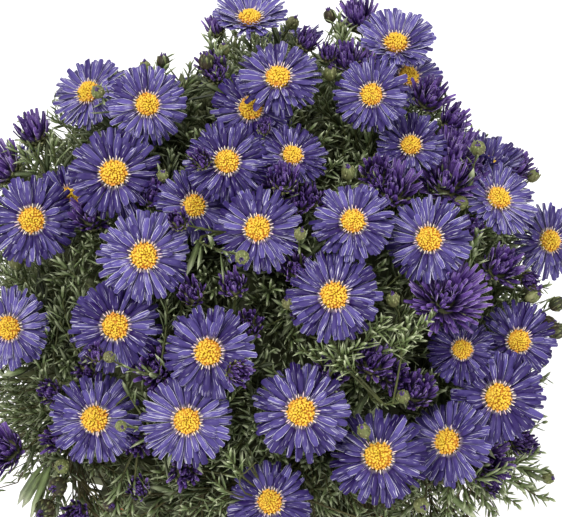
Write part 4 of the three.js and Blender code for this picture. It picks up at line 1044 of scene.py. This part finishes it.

# Its pale streaks and edges are painted highlights, as on the open flowers' rays.
purple = petal_paint("purple_ray", tone(52, 28, 88), tone(118, 84, 166), tone(224, 208, 242), 0.6)
head_ray = blade(2, HEAD_OUTLINE)
for head in heads:
    size, facing = head["across"] / 2, head["facing"]
    openness = np.clip((size / MM - SHUT_RADIUS) / OPENS_OVER, 0, 1)
    many = FEWEST_RAYS + int(size / MM * RAYS_FOR_SIZE + RAYS_FOR_OPEN * openness ** 4)
    for part, root, (closed, wide), reaches in HEAD_ROWS:
        count = int(many * part)
        headings = (np.arange(count) + rng.uniform(-0.4, 0.4, count)) * 2 * math.pi / count
        turned = frames_round(facing, headings)
        lift = np.radians(closed + (wide - closed) * openness + rng.uniform(-9, 9, count))
        shapes = bend(head_ray, size * rng.uniform(*reaches, count), min(size * 0.25, WIDEST_HEAD_RAY),
                      RAY_THICK, lift, rng.uniform(0.2, 1.0, count) * (1 - 0.35 * openness),
                      twist=rng.normal(0, 0.4, count), dish=0.14)
        roots = head["middle"] + turned[:, 0] * root * size - facing * size * 0.25
        tint = np.clip(rng.normal(0.26 + 0.34 * openness ** 2, 0.25, count), 0, 1)
        tufts[head["stem"]].append((head_ray, set_out(shapes, roots, turned), tint))
for i, parts in enumerate(tufts):
    place(mesh_of(f"stem_{i + 1}_heads", *parts), f"stem_{i + 1}_heads", purple, "petals")


# The stalks
# The stems and their branches as round stalks, each a little thinner at its far end. They are green, flushed
# with purple-brown towards the foot, and covered with short fine hairs that dull them.
STALK_SIDES, STALK_POINTS, TRUNK_POINTS = 8, 9, 15
# How thin a branch becomes, and between which shares of its length it thins
SLENDER, THINS_BETWEEN = 0.58, (0.2, 0.7)
FLUSHED_BETWEEN = (260 * MM, 120 * MM)

stalk_paint, tree, shader = paint("hairy_stalk", 0.62, Specular_IOR_Level=0.3)
where = node(tree, "TexCoord").outputs["Object"]
patches, grain = mottle_in(tree, 90.0, 2600.0)
low = step_up(tree, node(tree, "SeparateXYZ", Vector=where).outputs["Z"], *FLUSHED_BETWEEN)
colour = mixed(tree, patches, tone(60, 72, 40), tone(86, 98, 54))
colour = mixed(tree, sum_up(tree, "MULTIPLY_ADD", low, 0.5, 0.2), colour, tone(84, 52, 44))
hairs = sum_up(tree, "MULTIPLY", step_up(tree, grain, 0.55, 0.7), 0.3)
colour = mixed(tree, hairs, colour, tone(158, 164, 116))
tree.links.new(colour, shader.inputs["Base Color"])
bump_up(tree, shader, grain, 0.6, 0.0003)

for i in range(STEMS):
    shares = np.linspace(0, 1, TRUNK_POINTS)
    lines = [(along_bend(trunks[i], shares)[0], TRUNK_THICK * (1 - (1 - TAPER) * shares))]
    for branch in branches[i]:
        shares = np.linspace(0, 1, STALK_POINTS)
        thick = branch["from"] + (branch["to"] - branch["from"]) * shares
        thick = thick * np.interp(shares, THINS_BETWEEN, (1, SLENDER))
        lines.append((along_bend(branch["ends"], shares)[0], thick))
    place(draw_stalks(f"stem_{i + 1}_stalks", lines, STALK_SIDES), f"stem_{i + 1}_stalks", stalk_paint,
          "foliage", [f"leafy_stem_{i + 1}"])


# The leaves on the stalks
# Narrow lance-shaped leaves stand in a spiral along every stalk, long and dark low down and deep inside, and
# short and bright close under the flowers, the heads and the buds, where they crowd into a collar. Their
# darkness deep inside is painted shade.
LOWEST_LEAF = 119 * MM
LEAF_THICK, LEAF_DISH = 0.2 * MM, 0.1
# The turn from one leaf to the next along a stalk, in radians
LEAF_TURN = 2.4
# Where the leaves begin on a stem and on its branches, as shares of the way along, and their steps
STEM_LEAVES, BRANCH_LEAVES = (0.12, 5 * MM), (0.06, 4 * MM)
# How long a leaf is by its way from the stalk's end, both in mm
LEAF_LENGTHS = ((0, 8), (14, 14), (40, 24))
COLLAR_LEAVES, COLLAR_EVERY, SHORT_LEAVES = 6, 1.7 * MM, 13
# Where the plant's upper edge runs in the view, in pixels. No leaf stands over it
SKYLINE = (
    (-80, 260), (0, 160), (9, 141), (18, 133), (36, 117), (45, 97), (63, 78), (72, 68), (100, 64),
    (135, 66), (160, 60), (171, 74), (180, 84), (189, 69), (198, 62), (207, 36), (216, 12), (288, 14),
    (297, 19), (306, 35), (315, 39), (324, 53), (333, 17), (342, 12), (378, 5), (405, 13), (423, 24),
    (432, 36), (441, 74), (450, 98), (470, 121), (495, 133), (522, 164), (540, 197), (549, 213), (640, 280))
# Where the light comes through the plant: its place in the view and its radius, in pixels
THIN_PLACES = (
    (60, 128, 9), (16, 124, 8), (36, 148, 6), (58, 255, 13), (56, 300, 10), (58, 338, 12), (20, 378, 12),
    (46, 374, 9), (14, 462, 12), (66, 462, 9), (105, 466, 9), (16, 504, 22), (40, 492, 8), (70, 496, 15),
    (98, 492, 15), (474, 262, 10), (498, 296, 8), (548, 268, 7), (536, 281, 8), (550, 316, 9),
    (534, 310, 8), (556, 290, 7), (430, 498, 8), (462, 502, 12), (412, 330, 7), (516, 266, 7),
    (508, 316, 6))


def seen_at(points):
    """Where points show in the view, in pixels."""
    off = points - EYE
    depth = -(off @ BACK)
    across, down = off @ RIGHT / depth / PIXEL, -(off @ UP) / depth / PIXEL
    return np.stack([FRAME_WIDTH / 2 + across, FRAME_HEIGHT / 2 + down], -1)


def over_the_edge(points, margin):
    """Whether points show over the plant's upper edge."""
    seen = seen_at(points)
    return seen[:, 1] < np.interp(seen[:, 0], *zip(*SKYLINE)) + margin


def where_light_comes(points, spread=1.0):
    """Whether points show in one of the gaps through which light comes."""
    seen = seen_at(points)
    found = np.zeros(len(points), bool)
    for u, v, radius in THIN_PLACES:
        found |= np.linalg.norm(seen - (u, v), axis=1) < radius * spread
    return found


def set_leaves(roots, growths, spins, offs, length, width, curl, beyond=-1, clear=True):
    """Leaves set round stalks, but for those too low, over the upper edge, in a gap or before a flower."""
    side = np.cross(growths, np.where(np.abs(growths[:, 2:]) < 0.9, [[0, 0, 1.0]], [[1.0, 0, 0]]))
    side /= np.linalg.norm(side, axis=1)[:, None]
    round_it = np.cos(spins)[:, None] * side + np.sin(spins)[:, None] * np.cross(growths, side)
    offs = offs[:, None]
    out = np.sin(offs) * round_it + np.cos(offs) * growths
    top = -np.cos(offs) * round_it + np.sin(offs) * growths
    frames = np.stack([out, np.cross(top, out), top], 1)
    tips = roots + out * length[:, None]
    shown = ~over_the_edge(tips, -beyond) & (np.minimum(roots[:, 2], tips[:, 2]) > LOWEST_LEAF)
    if clear:
        shown &= ~before_a_flower(tips) & ~before_a_flower(roots + out * length[:, None] * 0.5)
    if beyond < 0:
        shown &= ~where_light_comes(tips, 0.9)
    shapes = bend(point, length, width, LEAF_THICK, 0.0, curl, dish=LEAF_DISH)
    return set_out(shapes, roots, frames)[shown], shown


def depth_in(points):
    """How far out points lie, from 0 in the mound's middle to 1 on its surface."""
    return np.linalg.norm((points - MOUND_MIDDLE) / MOUND_RADII, axis=1)


needle_paint = leaf_paint("needle_leaf", dark=tone(44, 52, 35), light=tone(122, 140, 88),
                          tip=tone(232, 238, 198), flush=tone(76, 76, 54))
rng = np.random.default_rng(17)
stalk_leaves = []
for i in range(STEMS):
    roots, growths, sizes = [], [], []
    lines = [(trunks[i], *STEM_LEAVES)] + [(branch["ends"], *BRANCH_LEAVES) for branch in branches[i]]
    for ends, first, every in lines:
        reach = np.linalg.norm(np.diff(along_bend(ends, np.linspace(0, 1, 30))[0], axis=0), axis=1).sum()
        shares = np.arange(first, 0.9, every / reach)
        points, ways = along_bend(ends, shares)
        roots.append(points)
        growths.append(ways)
        sizes.append(np.interp((1 - shares) * reach / MM, *zip(*LEAF_LENGTHS)) * MM)
        collar = 1 - np.arange(1, COLLAR_LEAVES + 1) * COLLAR_EVERY / reach
        points, ways = along_bend(ends, collar)
        roots.append(points)
        growths.append(ways)
        sizes.append(np.linspace(5, 8.5, COLLAR_LEAVES) * MM)
    roots, growths, sizes = np.concatenate(roots), np.concatenate(growths), np.concatenate(sizes)
    count = len(roots)
    length = sizes * rng.uniform(0.8, 1.2, count)
    spots, shown = set_leaves(roots, growths, np.arange(count) * LEAF_TURN + rng.normal(0, 0.3, count),
                              np.radians(rng.uniform(30, 65, count)), length,
                              np.minimum(length * 0.15, 2.8 * MM), rng.uniform(-0.6, 0.5, count))
    # The leaves take a darker tint the deeper they sit in the mound: painted shade.
    tint = np.clip((depth_in(roots) - 0.78) * 2.2 + rng.normal(0.12, 0.15, count), 0, 1)
    stalk_leaves.append([(point, spots, tint[shown])])
    for branch in branches[i]:
        if before_a_flower(np.array(branch["ends"][3:]))[0]:
            count = SHORT_LEAVES
            roots, growths = along_bend(branch["ends"], np.linspace(0.45, 0.97, count))
            spots, shown = set_leaves(roots, growths, np.arange(count) * LEAF_TURN,
                                      np.radians(rng.uniform(20, 45, count)), rng.uniform(3.5, 6, count) * MM,
                                      rng.uniform(1.0, 1.4, count) * MM, rng.uniform(-0.3, 0.5, count),
                                      clear=False)
            stalk_leaves[i].append((point, spots, rng.uniform(0.5, 0.9, count)[shown]))


# The thickets
# Deep in the mound the shoots round each stem crowd into a close dark thicket with leafy tufts all over it.
# Its dark colour is painted shade.
# Each is a wedge of the mound's middle: a net of unequal cells, drawn out to the tufts' tips and covered in
# leaves.
THICKET_SHARE, THICKET_FLOOR, THICKET_TOP = 0.64, 125 * MM, 0.96
THICKET_COLUMNS, THICKET_ROWS, THICKET_SEED = 5, 9, 40
AXIS_GAP, WALL_LAP, UNEVEN = 6 * MM, 0.5 * MM, 0.6
TUFT_RISE, TUFT_LEAN = 25 * MM, np.array([0, 0, 0.65])
TUFT_SHARES = (1, 0.75, 0.5, 0.25, 0.1)
CROWN_SHOOTS, CROWN_RISE, CROWN_LEAN, CROWN_SCATTER = (0.2, 0.5, 0.8), 9 * MM, (0, 0, 80 * MM), 60 * MM
# How deep the net is dented, how fine the dents are, and how far from the axis they begin
DENT, DENT_FINE, DENT_FROM = 3 * MM, 110, 20 * MM
# The leaves of a tuft follow each other at this step, and go on this far past its tip
TUFT_LEAF_EVERY, PAST_TIP = 2.3 * MM, 9 * MM


def azimuth_at(number, across):
    """The heading of a place across a stem's sixth of the mound, from -1 to 1."""
    return (number + across / 2) * 2 * math.pi / STEMS - math.pi / 2


def round_axis(number, across, r, z):
    """A place in a stem's sixth, by its distance from the axis and its height."""
    heading = azimuth_at(number, across)
    return np.array([math.cos(heading) * r, math.sin(heading) * r, z])


def way_at(number, across, up):
    """The way from the mound's middle to a place on a thicket's face, across from -1 to 1, up from 0 to 1."""
    lowest = math.asin((THICKET_FLOOR - MOUND_MIDDLE[2]) / MOUND_RADII[2] / THICKET_SHARE)
    rise = lowest + (math.asin(THICKET_TOP) - lowest) * up
    return round_axis(number, across, math.cos(rise), math.sin(rise))


def thicket_of(number):
    """One thicket as a closed net, with each tuft's foot and tip. Each tip is the solid stem's nearest."""
    draw = drawer(THICKET_SEED + number)
    columns, rows = THICKET_COLUMNS, THICKET_ROWS

    def loose(i, count):
        return (i if i in (0, count) else i + (next(draw) - 0.5) * UNEVEN) / count

    def on_face(across, up):
        return way_at(number, across, up) * MOUND_RADII * THICKET_SHARE + MOUND_MIDDLE

    made = bmesh.new()
    net = []
    for row in range(rows + 1):
        for column in range(columns + 1):
            across = 2 * loose(column, columns) - 1
            heading = azimuth_at(number, across)
            inwards = np.array([math.sin(heading), -math.cos(heading), 0])
            net.append(made.verts.new(on_face(across, loose(row, rows)) - inwards * across * WALL_LAP))
    low = made.verts.new(round_axis(number, 0, AXIS_GAP, THICKET_FLOOR))
    top = MOUND_MIDDLE[2] + MOUND_RADII[2] * THICKET_SHARE * THICKET_TOP
    high = made.verts.new(round_axis(number, 0, AXIS_GAP, top))
    feet, tips = [], []
    for row in range(rows):
        for column in range(columns):
            across = (2 * column + 1 + (next(draw) - 0.5) * UNEVEN) / columns - 1
            up = (row + 0.5 + (next(draw) - 0.5) * UNEVEN) / rows
            lean = unit(unit(way_at(number, across, up) / MOUND_RADII) + TUFT_LEAN)
            rise = TUFT_RISE * (0.6 + next(draw) * 0.8)
            foot = on_face(across, up)
            _, part = min((solid_stems[number].find_nearest(Vector(foot + lean * rise * part))[3], part)
                          for part in TUFT_SHARES)
            tip = foot + lean * rise * part
            first = row * (columns + 1) + column
            cell = [net[i] for i in (first, first + 1, first + columns + 2, first + columns + 1)]
            peak = made.verts.new(tip)
            for corner, after in zip(cell, cell[1:] + cell[:1]):
                made.faces.new((corner, after, peak))
            feet.append(foot)
            tips.append(tip)
    last = rows * (columns + 1)
    for share in CROWN_SHOOTS:
        for corner in net[last:]:
            feet.append(np.array(high.co) + (np.array(corner.co) - np.array(high.co)) * share)
            scatter = (np.array([next(draw), next(draw), 0.5]) - 0.5) * CROWN_SCATTER
            lean = feet[-1] - MOUND_MIDDLE + CROWN_LEAN + scatter
            tips.append(feet[-1] + unit(lean) * CROWN_RISE * (0.5 + next(draw)))
    for column in range(columns):
        made.faces.new((net[column], low, net[column + 1]))
        made.faces.new((net[last + column], net[last + column + 1], high))
    left, right = net[::columns + 1], net[columns::columns + 1]
    for row in range(rows):
        made.faces.new((low, right[row + 1], right[row]))
        made.faces.new((low, left[row], left[row + 1]))
    made.faces.new((low, high, right[-1]))
    made.faces.new((low, left[-1], high))
    bmesh.ops.subdivide_edges(made, edges=made.edges[:], cuts=2, use_grid_fill=True)
    bmesh.ops.triangulate(made, faces=made.faces[:])
    for vert in made.verts:
        inner = Vector((vert.co.x, vert.co.y, vert.co.z - MOUND_MIDDLE[2]))
        if vert.co.xy.length > DENT_FROM:
            vert.co -= inner.normalized() * DENT * (0.5 + 0.5 * noise.noise(vert.co * DENT_FINE))
    return pattern_of(made), np.array(feet), np.array(tips)


thicket_paint = leaf_paint("deep_shoots", dark=tone(40, 46, 28), light=tone(108, 116, 74),
                           tip=tone(160, 166, 118), flush=tone(70, 60, 46))
rng = np.random.default_rng(61)
for i in range(STEMS):
    net, feet, tips = thicket_of(i)
    reach = np.linalg.norm(tips - feet, axis=1) + PAST_TIP
    lean = (tips - feet) / (reach - PAST_TIP)[:, None]
    along = [np.arange(2 * MM, far, TUFT_LEAF_EVERY) for far in reach]
    which = np.repeat(np.arange(len(feet)), [len(part) for part in along])
    far_out = np.concatenate(along)
    roots, to_tip = feet[which] + lean[which] * far_out[:, None], reach[which] - far_out
    count = len(roots)
    length = (6 + 6 * np.clip(to_tip / (14 * MM), 0, 1) + rng.uniform(-1, 2, count)) * MM
    spots, shown = set_leaves(roots, lean[which], np.arange(count) * LEAF_TURN,
                              np.radians(rng.uniform(30, 65, count)), length,
                              rng.uniform(1.4, 2.0, count) * MM, rng.uniform(-0.3, 0.6, count))
    # The tufts' leaves darken the deeper they sit in the mound, and the thicket's body takes a dark tint:
    # painted shade.
    tint = np.clip((depth_in(roots) - 0.66) * 2.4 + rng.normal(0.25, 0.15, count), 0, 1)[shown]
    body = np.array([0.2])
    place(mesh_of(f"stem_{i + 1}_thicket", (net, net["points"][None], body), (point, spots, tint)),
          f"stem_{i + 1}_thicket", thicket_paint, "foliage")


# The leafy twigs
# Every branch carries short twigs, thickly set with small narrow leaves in a spiral, which shorten and
# brighten towards the tip. They fill the mound between the flowers, darkest deep inside. The brightening and
# the darkness are painted light and shade, by the leaves' depth in the mound.
TWIGS = 2440
TWIG_REACH, LEAFY_REACH = 40 * MM, 42 * MM
LEAF_EVERY, SPRIG_LEAF_EVERY = 2.1 * MM, 1.3 * MM
TWIG_THICK, TWIG_SIDES = 0.42 * MM, 4
# Where twigs begin on a stem and on its branches, as shares of the way along
STEM_STARTS, BRANCH_STARTS = np.linspace(0.35, 1, 12), np.linspace(0.1, 0.85, 7)
# Where the twigs' tips begin and how far down they go, as shares of the mound's height, and how far out they
# stand, as shares of its size
TIPS_FROM, TIPS_DOWN, TIPS_OUT = 0.98, 1.5, (0.76, 0.99)
# What turning off the way out costs a twig and a sprig when it takes its start
TWIG_TURN_COST, SPRIG_TURN_COST = 50 * MM, 30 * MM
# Leaves of the twigs that lie deeper in the mound than this are hidden, and left out
DEEPEST_LEAF = 0.72
# Sprigs that stand out by themselves: where each tip shows in the view, the way it leans, in degrees from
# upright to the right, its leafy reach in mm and how bright it is, which paints light on its leaves. The
# brighter, the further out it stands
SPRIGS = (
    (166, 58, 8, 22, 0.7), (190, 66, -4, 26, 0.5), (209, 34, -6, 30, 0.8), (222, 52, 12, 16, 0.6),
    (338, 16, -4, 24, 0.8), (346, 28, 10, 16, 0.6), (77, 92, -40, 14, 0.7), (24, 118, -50, 18, 0.6),
    (10, 148, -70, 20, 0.9), (22, 138, -50, 18, 0.8), (50, 134, -20, 18, 0.9), (318, 348, -60, 22, 1.0),
    (330, 338, -30, 24, 1.0), (345, 352, 30, 22, 0.9), (360, 345, 60, 20, 1.0), (400, 328, 80, 26, 1.0),
    (416, 336, 70, 22, 1.0), (384, 318, 30, 20, 1.0), (426, 322, 60, 22, 1.0), (434, 314, 30, 20, 1.0),
    (408, 318, 10, 18, 1.0), (300, 350, -80, 20, 0.8), (228, 452, -20, 24, 0.9), (240, 470, 10, 26, 0.9),
    (215, 480, -40, 24, 0.8), (256, 462, 30, 22, 0.8), (538, 452, 60, 22, 1.0), (545, 470, 80, 26, 1.0),
    (530, 486, 100, 26, 0.9), (548, 498, 95, 24, 0.8), (516, 504, 120, 26, 0.9), (470, 508, 150, 24, 0.9),
    (448, 512, 170, 22, 0.8), (492, 510, 140, 24, 0.8), (505, 468, 60, 24, 0.9), (118, 514, 170, 24, 0.7),
    (130, 516, 190, 22, 0.7), (108, 514, 200, 18, 0.6), (478, 232, 20, 18, 0.8), (470, 246, -20, 18, 0.8),
    (128, 376, 10, 18, 0.5), (140, 386, -30, 16, 0.4), (130, 394, 60, 16, 0.5), (55, 300, 0, 18, 0.3),
    (66, 288, 30, 18, 0.4), (250, 450, 0, 18, 0.3), (242, 458, -40, 16, 0.4), (267, 354, 10, 16, 0.2),
    (166, 300, -10, 16, 0.3), (238, 389, 20, 16, 0.3), (247, 410, -20, 16, 0.3), (172, 152, 0, 16, 0.2),
    (57, 254, -20, 16, 0.5), (80, 280, 20, 16, 0.4), (126, 508, 0, 20, 0.6), (122, 516, 30, 18, 0.6),
    (384, 510, 0, 20, 0.6), (376, 514, -30, 18, 0.5), (392, 514, 30, 18, 0.5), (270, 366, -20, 16, 0.4),
    (45, 362, 20, 18, 0.6))
# Single long leaves low down: where each starts and ends in the view, in pixels
LONG_LEAVES = (
    (45, 462, 4, 514), (46, 468, 14, 516), (30, 366, 2, 378), (52, 462, 30, 516), (440, 488, 478, 517))
LONG_LEAF_WIDTH = 3.6 * MM

rng = np.random.default_rng(90)
starts = [(spot, i) for i in range(STEMS) for spot in along_bend(trunks[i], STEM_STARTS)[0]]
starts += [(spot, i) for i in range(STEMS) for branch in branches[i]
           for spot in along_bend(branch["ends"], BRANCH_STARTS)[0]]
start_points, start_stems = np.array([spot for spot, _ in starts]), np.array([stem for _, stem in starts])
number = np.arange(TWIGS) + 0.5
heights = TIPS_FROM - TIPS_DOWN * number / TWIGS
headings = number * GOLDEN_ANGLE
flat = np.sqrt(1 - heights ** 2)
ways = np.stack([np.cos(headings) * flat, np.sin(headings) * flat, heights], -1)
targets = ways * MOUND_RADII * rng.uniform(*TIPS_OUT, (TWIGS, 1)) + MOUND_MIDDLE
keep = ~where_light_comes(targets) & ~before_a_flower(targets)
keep &= ~over_the_edge(targets, 4) & (targets[:, 2] > LOWEST_LEAF)
keep &= (ways @ BACK > -0.15) | (rng.random(TWIGS) < 0.65)
twig_lines, leaf_sets = [[] for _ in range(STEMS)], [[] for _ in range(STEMS)]
for way, target in zip(ways[keep], targets[keep]):
    line = target - start_points
    reach = np.linalg.norm(line, axis=1)
    outward = unit(way / MOUND_RADII)
    nearest = np.argmin(np.abs(reach - TWIG_REACH) + TWIG_TURN_COST * (1 - line @ outward / reach))
    start, stem = start_points[nearest], start_stems[nearest]
    length = reach[nearest]
    growth = unit(outward * 0.75 + np.array([0, 0, 0.5]) + rng.normal(0, 0.22, 3))
    ends = [start, start + unit(line[nearest] + rng.normal(0, 0.3, 3) * length) * length * 0.35,
            target - growth * length * 0.35, target]
    points, _ = along_bend(ends, np.linspace(0, 1, 5))
    twig_lines[stem].append((points, TWIG_THICK * np.linspace(1.3, 0.6, 5)))
    count = int(min(length * 0.8, LEAFY_REACH) / LEAF_EVERY)
    shares = 1 - (np.arange(count) + rng.random()) * LEAF_EVERY / length
    roots, growths = along_bend(ends, shares)
    spins = np.arange(count) * LEAF_TURN + rng.random() * 6
    own = np.full(count, rng.normal(0.5, 0.22))
    leaf_sets[stem].append((roots, growths, (1 - shares) * length, spins, own))

sprigs = [[] for _ in range(STEMS)]
for u, v, leaning, leafy, bright in SPRIGS:
    target = mound_point(u, v, 0.95 + 0.08 * bright)[0]
    leaning = math.radians(leaning)
    growth = unit(UP * math.cos(leaning) + RIGHT * math.sin(leaning) - BACK * 0.15)
    reach = np.linalg.norm(target - start_points, axis=1)
    turn = 1 - (target - start_points) @ growth / reach
    nearest = np.argmin(np.abs(reach - leafy * 1.5 * MM) + SPRIG_TURN_COST * turn)
    start, stem, length = start_points[nearest], start_stems[nearest], reach[nearest]
    ends = [start, start + (target - start) * 0.35, target - growth * leafy * 0.6 * MM, target]
    points, _ = along_bend(ends, np.linspace(0, 1, 7))
    twig_lines[stem].append((points, TWIG_THICK * np.linspace(1.6, 0.7, 7)))
    count = int(leafy * MM / SPRIG_LEAF_EVERY)
    shares = 1 - (np.arange(count) + 0.3) * SPRIG_LEAF_EVERY / length
    roots, growths = along_bend(ends, shares[shares > 0.05])
    count = len(roots)
    size = (4.5 + 5 * np.clip(np.arange(count) / 8, 0, 1)) * MM * rng.uniform(0.85, 1.2, count)
    spots, shown = set_leaves(roots, growths, np.arange(count) * LEAF_TURN,
                              np.radians(rng.uniform(22, 50, count)), size,
                              rng.uniform(1.3, 1.9, count) * MM, rng.uniform(-0.5, 0.3, count), beyond=60)
    # The sprig's brightness becomes its leaves' tint: painted light.
    sprigs[stem].append((point, spots, np.clip(bright + rng.normal(0, 0.12, count), 0, 1)[shown]))
for u, v, tip_u, tip_v in LONG_LEAVES:
    root, tip = mound_point(u, v, 0.95)[0], mound_point(tip_u, tip_v, 1.02)[0]
    length = np.linalg.norm(tip - root)
    spots, shown = set_leaves(root[None], unit(tip - root)[None], np.zeros(1), np.array([0.05]),
                              np.array([length]), np.array([LONG_LEAF_WIDTH]), np.array([-0.2]), beyond=60)
    sprigs[stem_at(root)].append((point, spots, np.full(1, 0.85)[shown]))
for i in range(STEMS):
    roots, growths, to_tip, spins, own = (np.concatenate(parts) for parts in zip(*leaf_sets[i]))
    count = len(roots)
    length = (4 + 5 * np.clip(to_tip / (12 * MM), 0, 1) + rng.uniform(-1, 2, count)) * MM
    spots, shown = set_leaves(roots, growths, spins, np.radians(rng.uniform(30, 62, count)), length,
                              rng.uniform(1.05, 1.65, count) * MM, rng.uniform(-0.4, 0.8, count))
    depths = depth_in(roots)
    # The leaves darken the deeper they sit in the mound and lighten further out: painted shade and light.
    tint = np.clip(own * 0.6 + (depths - DEEPEST_LEAF) * 1.2 + rng.normal(0.14, 0.18, count), 0, 1)
    outer = depths[shown] > DEEPEST_LEAF
    place(mesh_of(f"stem_{i + 1}_leaves", (point, spots[outer], tint[shown][outer]), *stalk_leaves[i],
                  *sprigs[i]), f"stem_{i + 1}_leaves", needle_paint, "foliage")
    place(draw_stalks(f"stem_{i + 1}_twigs", twig_lines[i], TWIG_SIDES), f"stem_{i + 1}_twigs", stalk_paint,
          "foliage")
